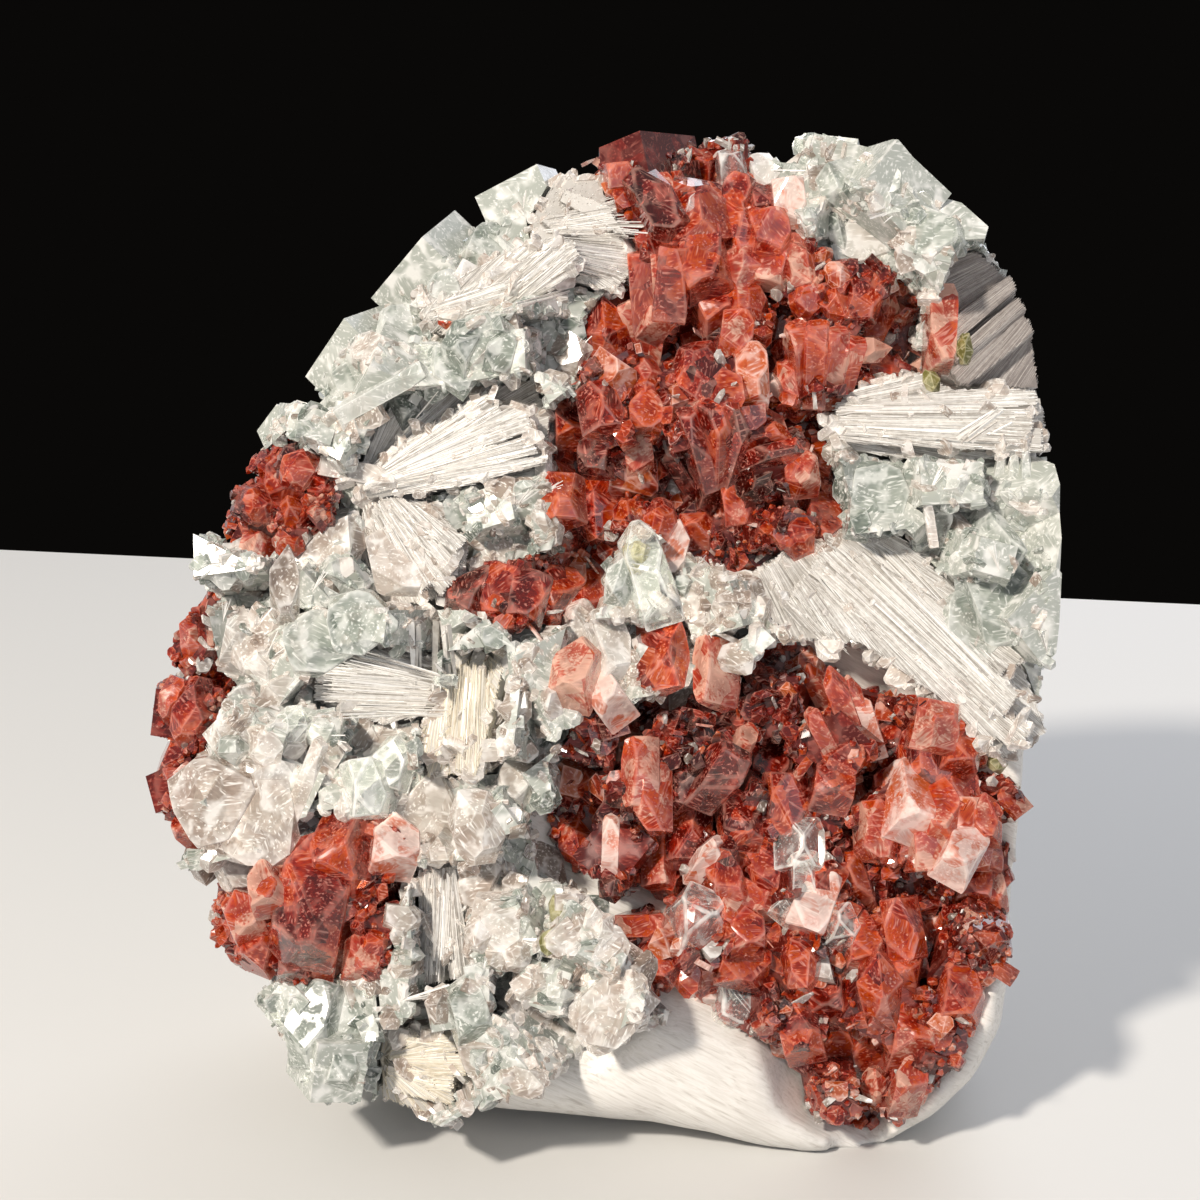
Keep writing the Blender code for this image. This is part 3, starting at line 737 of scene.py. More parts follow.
@dataclass(frozen=True)
class Outline:
    """The specimen's outline as the camera sees it: how far it reaches from one middle, all round.

    The reaches are in chart squares, one for each step of degrees from the right. They set no limit where
    the stone stands on the table.
    """

    middle: tuple[float, float] = (603.0, 650.0)
    step: float = 6.0
    reaches: tuple = (
        447, 449, 455, 467, 493, 498, 530, 548, 559, 559, 561, 561, 538, 526, 493, 490, 477, 451, 440, 413,
        408, 401, 394, 388, 398, 396, 400, 406, 418, 425, 434, 446, 458, 468, 475, 480, 484, 487, 495, 522,
        534, 505) + (700,) * 18

    SLACK = 5.0
    SHRINK = 0.7
    ROUNDS = 2

    def overshoot(self, points: np.ndarray) -> np.ndarray:
        """Measures how far points show outside the outline.

        Args:
            points: Places in the object's frame, in millimetres.

        Returns:
            How far past the outline each one shows, in chart squares, or less than nought inside it.
        """
        centre = np.array(FRAME_MIDDLE)
        nearer = CAMERA_AWAY / (CAMERA_AWAY - (points - on_face(FRAME_MIDDLE)) @ OUT)
        out = centre + (to_chart(points) - centre) * nearer[..., None] - self.middle
        turn = np.degrees(np.arctan2(-out[..., 1], out[..., 0]))
        angles = np.arange(len(self.reaches)) * self.step
        return np.hypot(out[..., 0], out[..., 1]) - np.interp(turn, angles, self.reaches, period=360.0)

    def fit(self, shape: np.ndarray, axes: np.ndarray, roots: np.ndarray) -> tuple[np.ndarray, np.ndarray]:
        """Places copies of one shape, shrinking those that show outside the outline.

        Args:
            shape: The shape's points.
            axes: Each copy's axes.
            roots: Each copy's root.

        Returns:
            The points of every copy, and whether it now keeps to the outline.
        """
        axes = axes.copy()
        for _ in range(self.ROUNDS + 1):
            points = np.einsum("vk,nkc->nvc", shape, axes) + roots[:, None, :]
            over = self.overshoot(points).max(axis=1) > self.SLACK
            axes[over] *= self.SHRINK
        return points, ~over


@dataclass
class Batch:
    """Copies to be joined in one mesh: for each its axes, root, shape, tint and finish number."""

    axes: list = field(default_factory=list)
    roots: list = field(default_factory=list)
    shapes: list = field(default_factory=list)
    tints: list = field(default_factory=list)
    finishes: list = field(default_factory=list)

    def add(self, axes: np.ndarray, roots: np.ndarray, shapes: list, tints: np.ndarray,
            finishes: np.ndarray) -> None:
        """Notes more copies.

        Args:
            axes: Each copy's three axes, at their lengths.
            roots: Where its root is.
            shapes: Its form and variant.
            tints: Its place along the colour ramp.
            finishes: Its finish number.
        """
        self.axes.extend(axes)
        self.roots.extend(roots)
        self.shapes.extend(shapes)
        self.tints.extend(tints)
        self.finishes.extend(finishes)

    def mesh(self, name: str, templates: dict) -> bpy.types.Mesh:
        """Joins the copies that stay inside the outline and the model's box.

        Args:
            name: The mesh's name.
            templates: The shapes that the copies are made of.

        Returns:
            One mesh in metres, with tint, reach and rim on its points.
        """
        low = np.array(CAD_BOX[0]) / MM + BOX_MARGIN
        high = np.array(CAD_BOX[1]) / MM - BOX_MARGIN
        axes, roots = np.array(self.axes), np.array(self.roots)
        tints, finishes = np.array(self.tints), np.array(self.finishes)
        parts, start = [], 0
        for shape in sorted(set(self.shapes), key=lambda s: (s[0].value, s[1])):
            form, variant = shape
            template = templates[form][variant]
            picked = np.array([i for i, s in enumerate(self.shapes) if s == shape])
            points, inside = Outline().fit(template.points, axes[picked], roots[picked])
            inside &= ((points > low) & (points < high)).all(axis=(1, 2))
            points, picked = points[inside], picked[inside]
            n, v = points.shape[:2]
            faces = (template.faces[None] + (np.arange(n) * v)[:, None, None] + start).reshape(-1, 3)
            finish, tint = np.repeat(finishes[picked], len(template.faces)), np.repeat(tints[picked], v)
            reach, rim = np.tile(template.reach, n), np.tile(template.rim, n)
            parts.append((points.reshape(-1, 3), faces, finish, tint, reach, rim))
            start += n * v
        points, faces, finish, *values = (np.concatenate(column) for column in zip(*parts))
        mesh = bpy.data.meshes.new(name)
        mesh.vertices.add(len(points))
        mesh.vertices.foreach_set("co", (points * MM).astype(np.float32).ravel())
        mesh.loops.add(faces.size)
        mesh.loops.foreach_set("vertex_index", faces.astype(np.int32).ravel())
        mesh.polygons.add(len(faces))
        mesh.polygons.foreach_set("loop_start", np.arange(0, faces.size, 3, dtype=np.int32))
        mesh.polygons.foreach_set("material_index", finish.astype(np.int32))
        mesh.update(calc_edges=True)
        mesh.shade_flat()
        for label, value in zip(("tint", "reach", "rim"), values):
            data = mesh.attributes.new(label, "FLOAT", "POINT").data
            data.foreach_set("value", value.astype(np.float32))
        return mesh


def show(mesh: bpy.types.Mesh, name: str, finishes: tuple, shaded: bool) -> bpy.types.Object:
    """Puts a finished mesh in the scene.

    Args:
        mesh: Its shape, in metres and in place.
        name: The piece's name.
        finishes: Its finishes, in the order of the mesh's finish numbers.
        shaded: Whether it casts a shadow. Icy crystals let the light through to what they stand on.

    Returns:
        The piece, riding on the specimen's body.
    """
    piece = bpy.data.objects.new(name, mesh)
    bpy.context.scene.collection.objects.link(piece)
    piece.visible_shadow = shaded
    for finish in finishes:
        mesh.materials.append(finish.material())
    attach(piece, BODY)
    log.info("%s: %d triangles", name, len(mesh.polygons))
    return piece


NO_PLACES = np.zeros((0, 3))


class Ground:
    """The solids of the frame, as the ground that crystals stand on.

    A point is open if nothing lies within its open reach. A crystal that hangs over the edge of its bed by
    more than the overhang shrinks by the fit, a few times at most. All these lengths are millimetres.
    """

    OPEN_REACH = 2.5
    OPEN_START = 0.05
    DROP_HEIGHT = 60.0
    DROP_DEPTH = 45.0
    TRIES = 3.0
    CROWDED = 1.0
    UNDER = 0.5
    DEEP = 1.5
    OVERHANG = 0.8
    FIT = 0.7
    MOST_FITS = 4
    ASKEW = 0.3

    def __init__(self, nodes: dict) -> None:
        """Reads each node's triangles, in millimetres.

        Args:
            nodes: The frame's objects by name.
        """
        self.corners, self.trees = {}, {}
        points, faces = [], []
        for name in sorted(nodes):
            mesh = nodes[name].data
            mesh.calc_loop_triangles()
            here = np.array([v.co[:] for v in mesh.vertices]) / MM
            tris = np.array([t.vertices[:] for t in mesh.loop_triangles])
            self.corners[name] = here[tris]
            self.trees[name] = BVHTree.FromPolygons([Vector(p) for p in here], tris.tolist())
            faces.extend((tris + len(points)).tolist())
            points.extend(here.tolist())
        self.tree = BVHTree.FromPolygons([Vector(p) for p in points], faces)

    def is_open(self, point: np.ndarray, facing: np.ndarray) -> bool:
        """Whether nothing lies close in front of a point."""
        start = Vector(point + facing * self.OPEN_START)
        return self.tree.ray_cast(start, Vector(facing), self.OPEN_REACH)[0] is None

    def beyond(self, node: str, point: np.ndarray) -> float:
        """How far outside a node's solid a point lies, in millimetres, or nought within it."""
        nearest, normal, _, away = self.trees[node].find_nearest(Vector(point))
        return away if (Vector(point) - nearest).dot(normal) > -self.UNDER * away else 0.0

    def room(self, node: str, point: np.ndarray, normal: np.ndarray, half: float) -> float:
        """Finds how far a crystal is to shrink so as not to overhang the edge of its bed.

        Args:
            node: The bed's node.
            point: Where the crystal stands.
            normal: The surface's direction there.
            half: Half its width in millimetres.

        Returns:
            The share of its size that it keeps.
        """
        side = unit(np.cross(normal, UP + self.ASKEW * RIGHT))
        other = np.cross(normal, side)
        under = point - normal * self.DEEP
        share = 1.0
        while share > self.FIT ** self.MOST_FITS:
            if all(self.beyond(node, under + way * half * share) <= self.OVERHANG
                   for way in (side, -side, other, -other)):
                break
            share *= self.FIT
        return share

    def drop(self, chart: tuple[float, float]) -> np.ndarray:
        """Looks straight at the face through a chart square.

        Args:
            chart: Column and row.

        Returns:
            The first point met, or the face itself where nothing is met.
        """
        start = on_face(chart, -self.DROP_HEIGHT)
        hit = self.tree.ray_cast(Vector(start), Vector(INTO), self.DROP_HEIGHT + self.DROP_DEPTH)[0]
        return on_face(chart) if hit is None else np.array(hit)

    def scatter(self, node: str, apart: float, dice: Dice, clear_of: np.ndarray = NO_PLACES) -> tuple:
        """Spreads points over a node's open surface.

        Args:
            node: The node's name.
            apart: The least distance between two that are kept, in millimetres. Where it is very small,
                points may fall closer.
            dice: Where the points come from.
            clear_of: Rows of a chart column, row and reach, inside which no point is kept on the front.

        Returns:
            The kept points and the surface's direction at each.
        """
        corners = self.corners[node]
        cross = np.cross(corners[:, 1] - corners[:, 0], corners[:, 2] - corners[:, 0])
        area = np.linalg.norm(cross, axis=1)
        normals = unit(cross)
        crowded = apart < self.CROWDED
        count = int((1.0 if crowded else self.TRIES) * area.sum() / 2 / apart ** 2)
        picked = dice.choice(len(corners), size=count, p=area / area.sum())
        mix = dice.dirichlet((1.0, 1.0, 1.0), size=count)
        points = np.einsum("nk,nkc->nc", mix, corners[picked])
        away = np.linalg.norm(to_chart(points)[:, None] - clear_of[None, :, :2], axis=2)
        taken_up = (away < clear_of[None, :, 2]).any(axis=1) & (normals[picked] @ OUT > 0)
        kept, taken = [], {}
        for i in np.flatnonzero(~taken_up):
            cell = tuple((points[i] // apart).astype(int))
            near = [taken.get((cell[0] + a, cell[1] + b, cell[2] + c))
                    for a in (-1, 0, 1) for b in (-1, 0, 1) for c in (-1, 0, 1)]
            if not crowded and any(k is not None and math.dist(points[k], points[i]) < apart for k in near):
                continue
            if not self.is_open(points[i], normals[picked[i]]):
                continue
            taken[cell] = i
            kept.append(i)
        return points[kept], normals[picked[kept]]


def axes_along(directions: np.ndarray, sizes: np.ndarray, turns: np.ndarray,
               flat_to: np.ndarray | None = None) -> np.ndarray:
    """Builds the axes of many copies.

    Args:
        directions: Where each copy points, a row each.
        sizes: Its width, thickness and length in millimetres.
        turns: Its turn about that direction, in radians.
        flat_to: The way that its thickness faces before that turn, where that matters.

    Returns:
        For each copy three rows, each an axis of the copy at its length.
    """
    if flat_to is None:
        flat_to = np.where(np.abs(directions @ RIGHT)[:, None] < NEAR_RIGHT, RIGHT, UP)
    side = unit(np.cross(flat_to, directions))
    other = np.cross(directions, side)
    turns = np.reshape(turns, (-1, 1))
    first = np.cos(turns) * side + np.sin(turns) * other
    second = np.cross(directions, first)
    return np.stack([first, second, directions], axis=1) * sizes[:, :, None]


@dataclass(frozen=True)
class Patch:
    """A place on the face whose crystals lean towards one tint."""

    at: tuple[float, float]
    reach: float
    tint: float

    PULL = 0.8


def tint_at(places: np.ndarray, base: np.ndarray, patches: tuple[Patch, ...]) -> np.ndarray:
    """Pulls tints towards those of the patches that they stand in.

    Args:
        places: Where the crystals stand, in millimetres.
        base: Their tints without the patches.
        patches: The patches, in the order that they act.

    Returns:
        The new tints.
    """
    tints = base.copy()
    chart = to_chart(places)
    for patch in patches:
        away = np.linalg.norm(chart - np.array(patch.at), axis=1) / patch.reach
        share = patch.PULL * np.exp(-away * away)
        tints = tints * (1 - share) + patch.tint * share
    return tints


@dataclass(frozen=True)
class Layer:
    """One growth of like crystals over a bed. Shares pairs a finish with how often it comes up.

    Sink is how much of a crystal's height is buried. Along, where it is given, lays the crystals along the
    face: degrees round from the right, the spread of that and the degrees that they rise out of the face. It
    leaves out the sides, and a tuft is how many then fan out from each root. Fine crystals are too small to
    need a middle in each face. Sides only keeps to what doesn't face the front.
    """

    forms: tuple
    size: tuple[float, float]
    apart: float
    shares: tuple
    sink: float = 0.4
    tilt: float = 0.4
    outward: float = 0.35
    tint: tuple[float, float] = (0.5, 0.18)
    slim: float = 1.0
    along: tuple = ()
    tuft: int = 1
    fine: bool = False
    sides_only: bool = False

    FAN = 9.0
    LARGE = 2.5
    SIDE_ON = 0.6
    SIDE_SINK = 0.8
    SIDE_SIZE = 0.55
    BACKWARD = -0.2
    SIZE_DRAW = (1.3, 2.4)
    STRETCH = (0.8, 1.25)

    def grow(self, bed: "Bed | Spray", ground: Ground, kit: Kit, clear_of: np.ndarray, dice: Dice,
             batch: Batch) -> None:
        """Adds this growth's crystals to the batch.

        Args:
            bed: The bed or spray that they stand on.
            ground: The solids, the bed's own among them.
            kit: The shapes that they take.
            clear_of: Chart places that large crystals fill.
            dice: Where their places, sizes and turns come from.
            batch: What takes them.
        """
        points, normals = ground.scatter(bed.node, self.apart, dice, clear_of)
        side_on = normals @ OUT < self.SIDE_ON
        if self.sides_only:
            points, normals, side_on = points[side_on], normals[side_on], np.zeros(side_on.sum(), bool)
        if self.along:
            points, normals = [np.repeat(rows[~side_on], self.tuft, axis=0) for rows in (points, normals)]
            side_on = np.zeros(len(points), bool)
        n = len(points)
        facing = unit(normals + self.outward * OUT * (normals @ OUT > self.BACKWARD)[:, None]
                      + dice.normal(scale=self.tilt, size=(n, 3)))
        if self.along:
            facing = self.laid_flat(normals, dice)
        sizes = within(self.size, dice.beta(*self.SIZE_DRAW, size=n))
        sizes *= np.where(side_on & (not self.fine), self.SIDE_SIZE, 1.0)
        tints = tint_at(points, dice.normal(*self.tint, size=n), bed.patches)
        if sizes.mean() > self.LARGE:
            sizes *= [ground.room(bed.node, p, d, size / 2) for p, d, size in zip(points, normals, sizes)]
        stretch = dice.uniform(*self.STRETCH, size=(n, 3)) * sizes[:, None] * (self.slim, self.slim, 1.0)
        first = VARIANTS if self.fine else 0
        drawn = zip(dice.integers(len(self.forms), size=n), dice.integers(first, first + VARIANTS, size=n))
        shapes = [(self.forms[form], int(variant)) for form, variant in drawn]
        sink = np.where(side_on, max(self.sink, self.SIDE_SINK), self.sink)
        buried = sink * np.array([kit.height(shape) for shape in shapes]) * stretch[:, 2]
        looks, shares = zip(*self.shares)
        batch.add(axes_along(facing, stretch, dice.uniform(0, math.tau, size=n)),
                  points - facing * buried[:, None], shapes, tints, dice.choice(looks, p=shares, size=n))

    def laid_flat(self, normals: np.ndarray, dice: Dice) -> np.ndarray:
        """Finds where crystals point that lie along the ground, in tufts.

        Args:
            normals: The ground's direction under each.
            dice: Where their spread comes from.

        Returns:
            Each crystal's direction.
        """
        n = len(normals)
        turn, spread, lifted = self.along
        middle = np.repeat(dice.normal(turn, spread, size=n // self.tuft), self.tuft)
        turn = np.radians(middle + dice.normal(scale=self.FAN, size=n))[:, None]
        flat = np.cos(turn) * RIGHT + np.sin(turn) * UP
        flat = unit(flat - normals * (flat * normals).sum(axis=1, keepdims=True))
        lift = np.radians(lifted) * np.abs(dice.normal(size=n))[:, None]
        return np.cos(lift) * flat + np.sin(lift) * normals


@dataclass
class Bed:
    """A node's cover of crystals, standing on its open surface in one joined mesh."""

    name: str
    node: str
    slot: str
    layers: tuple
    seed: int
    patches: tuple = ()

    def build(self, ground: Ground, kit: Kit, clear_of: np.ndarray) -> bpy.types.Object:
        """Grows the crystals.

        Args:
            ground: What they stand on.
            kit: The shapes that they take.
            clear_of: Chart places that large crystals fill.

        Returns:
            The finished piece.
        """
        dice = np.random.default_rng(self.seed)
        batch = Batch()
        for layer in self.layers:
            layer.grow(self, ground, kit, clear_of, dice, batch)
        return show(batch.mesh(self.name, kit.small), self.name, LOOKS, self.slot == STAINED)


@dataclass(frozen=True)
class Hero:
    """One large crystal with its own place on the chart.

    Its size is width, thickness and length in millimetres. Aim is where its length points: degrees round
    the face from the right, and degrees up out of the face. Lift moves it out, and roll turns it about its
    length.
    """

    at: tuple[float, float]
    size: tuple[float, float, float]
    form: Form
    aim: tuple[float, float]
    tint: float
    look: Look = Look.RED
    lift: float = 0.0
    roll: float = 0.0

    STEEP = 45.0
    SEATED = -0.1
    SHALLOW = 0.75
    LIFTED = 0.6
    SWAY = 14.0
    CLEARED = 0.36
    MOST_CLEARED = 14.0

    def footprint(self) -> tuple[float, float, float]:
        """The chart place and reach that it fills."""
        flat = self.size[2] * math.cos(math.radians(self.aim[1]))
        return (*self.at, self.CLEARED * min(max(flat, self.size[0]), self.MOST_CLEARED) / CHART_SQUARE)

    def stand(self, ground: Ground, dice: Dice, batch: Batch) -> None:
        """Adds the crystal to the batch, seated on what lies under its place.

        Args:
            ground: What it stands on.
            dice: Where its sway and variant come from.
            batch: What takes it.
        """
        steep = self.aim[1] > self.STEEP
        turn, rise_out = np.radians(np.array(self.aim) + dice.normal(scale=self.SWAY, size=2) * steep)
        direction = unit(math.cos(rise_out) * (math.cos(turn) * RIGHT + math.sin(turn) * UP)
                         + math.sin(rise_out) * OUT)
        length = self.size[2] * (self.SHALLOW if steep else 1.0)
        roll = math.radians(self.roll + dice.normal(scale=self.SWAY) * steep)
        tall = length * math.sin(rise_out) + self.size[1] * math.cos(rise_out)
        middle = ground.drop(self.at) + OUT * (self.lift * self.LIFTED + self.SEATED * tall)
        unit_size = FORM_SIZE.get(self.form, (1.0, 1.0, 1.0))
        size = np.array([s / u for s, u in zip((*self.size[:2], length), unit_size)])
        axes = axes_along(direction[None], size[None], np.array([roll]))
        batch.add(axes, [middle - direction * length / 2], [(self.form, int(dice.integers(VARIANTS)))],
                  [self.tint], [int(self.look)])


def crystals(*rows: tuple) -> tuple[Hero, ...]:
    """Reads large crystals from rows.

    Args:
        rows: For each its column, row, width, thickness, length, form, turn, rise and tint, and where they
            aren't the usual ones its look, lift and roll.

    Returns:
        The crystals in the same order.
    """
    return tuple(Hero((x, y), (width, thickness, length), form, (turn, up), *more)
                 for x, y, width, thickness, length, form, turn, up, *more in rows)


@dataclass
class HeroGroup:
    """The large crystals of one growth, joined in one mesh."""

    name: str
    slot: str
    heroes: tuple
    seed: int

    def build(self, ground: Ground, kit: Kit) -> bpy.types.Object:
        """Stands them all on the ground.

        Args:
            ground: What they stand on.
            kit: The shapes that they take.

        Returns:
            The finished piece.
        """
        dice = np.random.default_rng(self.seed)
        batch = Batch()
        for hero in self.heroes:
            hero.stand(ground, dice, batch)
        return show(batch.mesh(self.name, kit.large), self.name, LOOKS, False)


@dataclass(frozen=True)
class Sheaf:
    """One bundle or fan of long needles between two lines on the chart.

    Pile is how high the needles heap up in its middle, ragged how unevenly they end, as a share of their
    length, stray how far their ends wander in chart squares, and lift how far the whole sheaf stands out.
    """

    root: tuple
    tip: tuple
    count: int
    width: tuple[float, float] = (0.15, 0.4)
    pile: float = 1.2
    ragged: float = 0.35
    stray: float = 1.5
    lift: float = 0.0

    LOW = 0.35
    HEAPED = 0.7
    FLATNESS = (0.5, 1.0)
    ROLL = 0.5
    TINT = (0.65, 0.28)

    def lay(self, ground: Ground, dice: Dice, batch: Batch) -> None:
        """Adds the needles to the batch, resting on the ground.

        Args:
            ground: What they rest on.
            dice: Where their places and sizes come from.
            batch: What takes them.
        """
        root, tip = np.array(self.root, float), np.array(self.tip, float)
        for i in range(self.count):
            share = (i + dice.uniform()) / self.count
            start = within(root, share) + dice.normal(scale=self.stray, size=2)
            end = within(tip, share) + dice.normal(scale=self.stray, size=2)
            begin = dice.uniform(0, self.ragged)
            finish = 1 - dice.uniform(0, self.ragged)
            start, end = start + (end - start) * begin, start + (end - start) * finish
            height = self.lift + self.pile * (1 - (2 * share - 1) ** 2) * dice.uniform() ** self.HEAPED
            near, far = [ground.drop(tuple(place)) + OUT * (height - self.LOW) for place in (start, end)]
            length = float(np.linalg.norm(far - near))
            width = dice.uniform(*self.width)
            size = np.array([[width, width * dice.uniform(*self.FLATNESS), length]])
            turn = dice.normal(scale=self.ROLL, size=1)
            batch.add(axes_along((far - near)[None] / length, size, turn, OUT[None]), [near],
                      [(Form.NEEDLE, int(dice.integers(VARIANTS)))], [dice.normal(*self.TINT)], [0])


SPLINTERS = (Form.BLADE, Form.PLATE, Form.TABLET, Form.SHARD, Form.BLADE)
GRIT = (
    Layer(SPLINTERS, (1.5, 4.5), 2.0, ((1, 1.0),), tilt=0.7, tint=(0.75, 0.25), sides_only=True),
    Layer(SPLINTERS, (0.9, 2.2), 3.6, ((1, 1.0),), tilt=0.9, tint=(1.0, 0.1), fine=True),
)


@dataclass
class Spray:
    """A spray's needles: a coat over its solid that runs out from one apex, and sheaves of longer ones."""

    name: str
    node: str
    apex: tuple[float, float, float]
    finish: FibreFinish
    seed: int
    sheaves: tuple = ()
    width: tuple[float, float] = (0.18, 0.5)
    layers: tuple = GRIT
    patches: tuple = ()

    SLOT = "scolecite"
    APART = 0.52
    LENGTH = (5.0, 14.0)
    SPREAD = 0.02
    TINT = (0.5, 0.28)
    END_ON = 0.6
    LAID = 0.96
    PROUD = 0.45
    LEAST_PROUD = 0.1
    TRIMS = 5
    TRIM = 0.6
    WIDTH_DRAW = (1.0, 3.0)
    FLATNESS = (0.4, 0.8)
    SUNK = (-0.1, 0.4)
    ROLL = 0.4

    def build(self, ground: Ground, kit: Kit) -> bpy.types.Object:
        """Coats the solid, then lays the sheaves and strews the grit.

        Args:
            ground: The solids, the spray's own among them.
            kit: The shapes that the needles and the grit take.

        Returns:
            The finished piece.
        """
        dice = np.random.default_rng(self.seed)
        batch = Batch()
        self.coat(ground, dice, batch)
        for sheaf in self.sheaves:
            sheaf.lay(ground, dice, batch)
        for layer in self.layers:
            layer.grow(self, ground, kit, NO_PLACES, dice, batch)
        return show(batch.mesh(self.name, kit.small), self.name, (self.finish, FROSTED), False)

    def trimmed(self, ground: Ground, points: np.ndarray, steps: np.ndarray) -> np.ndarray:
        """Shortens steps until their ends keep by the solid.

        Args:
            ground: The solids.
            points: Where each step starts, in millimetres.
            steps: The way from there to its end.

        Returns:
            The shortened steps.
        """
        shares = []
        for point, step in zip(points, steps):
            share = 1.0
            for _ in range(self.TRIMS):
                if ground.beyond(self.node, point + step * share) <= self.PROUD:
                    break
                share *= self.TRIM
            shares.append([share])
        return steps * np.array(shares)

    def coat(self, ground: Ground, dice: Dice, batch: Batch) -> None:
        """Adds a needle through each of many points on the solid, half sunk in it.

        Args:
            ground: The solids.
            dice: Where the needles' places and sizes come from.
            batch: What takes them.
        """
        points, normals = ground.scatter(self.node, self.APART, dice)
        n = len(points)
        source = on_face(self.apex[:2], self.apex[2])
        out = unit(unit(points - source) + dice.normal(scale=self.SPREAD, size=(n, 3)))
        against = (out * normals).sum(axis=1, keepdims=True)
        end_on = np.abs(against) > self.END_ON
        out = np.where(end_on, out, unit(out - self.LAID * against * normals))
        reach = dice.uniform(*self.LENGTH, size=(n, 1))
        proud = dice.uniform(self.LEAST_PROUD, self.PROUD, size=(n, 1))
        front = np.abs(np.where(end_on, np.sign(against) * proud, reach / 2))
        ahead = self.trimmed(ground, points, out * front)
        behind = self.trimmed(ground, points, out * -(reach - front))
        width = within(self.width, dice.beta(*self.WIDTH_DRAW, size=n))
        thickness = width * dice.uniform(*self.FLATNESS, size=n)
        sizes = np.stack([width, thickness, np.linalg.norm(ahead - behind, axis=1)], axis=1)
        roots = points + behind - normals * (width * dice.uniform(*self.SUNK, size=n))[:, None]
        axes = axes_along(out, sizes, dice.normal(scale=self.ROLL, size=n), normals)
        shapes = [(Form.NEEDLE, int(v)) for v in dice.integers(VARIANTS, size=n)]
        batch.add(axes, roots, shapes, dice.normal(*self.TINT, size=n), np.zeros(n))


@dataclass
class Stone:
    """The massive zeolite that carries everything, with its faceted solid made smooth."""

    name: str = "matrix_stone"
    node: str = "matrix"
    slot: str = "massive_zeolite"
    voxel: float = 1.5
    smooth_rounds: int = 5
    swell: float = 0.35
    swell_size: float = 9.0

    WELD = 1e-6
    SOFTNESS = 0.5

    def build(self, nodes: dict) -> bpy.types.Object:
        """Remeshes a copy of the solid, smooths it and stands it in for the node.

        Args:
            nodes: The frame's objects by name.

        Returns:
            The finished piece.
        """
        bm = bmesh.new()
        bm.from_mesh(nodes[self.node].data)
        bmesh.ops.remove_doubles(bm, verts=bm.verts[:], dist=self.WELD)
        bmesh.ops.recalc_face_normals(bm, faces=bm.faces[:])
        rough = bpy.data.meshes.new(self.name)
        bm.to_mesh(rough)
        bm.free()
        piece = bpy.data.objects.new(self.name, rough)
        bpy.context.scene.collection.objects.link(piece)
        remesh = piece.modifiers.new("even faces", "REMESH")
        remesh.mode = "VOXEL"
        remesh.voxel_size = self.voxel * MM
        soften = piece.modifiers.new("tumbled edges", "SMOOTH")
        soften.factor = self.SOFTNESS
        soften.iterations = self.smooth_rounds
        done = bpy.data.meshes.new_from_object(piece.evaluated_get(bpy.context.evaluated_depsgraph_get()))
        piece.modifiers.clear()
        piece.data = done
        self.roll_surface(done)
        done.shade_smooth()
        done.materials.append(STONE.material())
        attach(piece, BODY)
        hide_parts(self.node)
        log.info("%s: %d faces", self.name, len(done.polygons))
        return piece

    def roll_surface(self, mesh: bpy.types.Mesh) -> None:
        """Swells the polished faces a little here and there, within the node's own box.

        Args:
            mesh: The smoothed mesh, changed in place.
        """
        low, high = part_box(self.node)
        points, normals = np.empty(len(mesh.vertices) * 3), np.empty(len(mesh.vertices) * 3)
        mesh.vertices.foreach_get("co", points)
        mesh.vertex_normals.foreach_get("vector", normals)
        points, normals = points.reshape(-1, 3), normals.reshape(-1, 3)
        lift = [noise.noise(Vector(p) * per_metre(self.swell_size)) * self.swell * MM for p in points]
        points = np.clip(points + normals * np.array(lift)[:, None], low, high)
        mesh.vertices.foreach_set("co", points.ravel())


def dress_solids(nodes: dict, finishes: dict) -> None:
    """Gives each node's own solid its finish.

    Args:
        nodes: The frame's objects by name.
        finishes: The finish of each node.
    """
    for name, finish in finishes.items():
        mesh = nodes[name].data
        mesh.materials.clear()
        mesh.materials.append(finish.material())


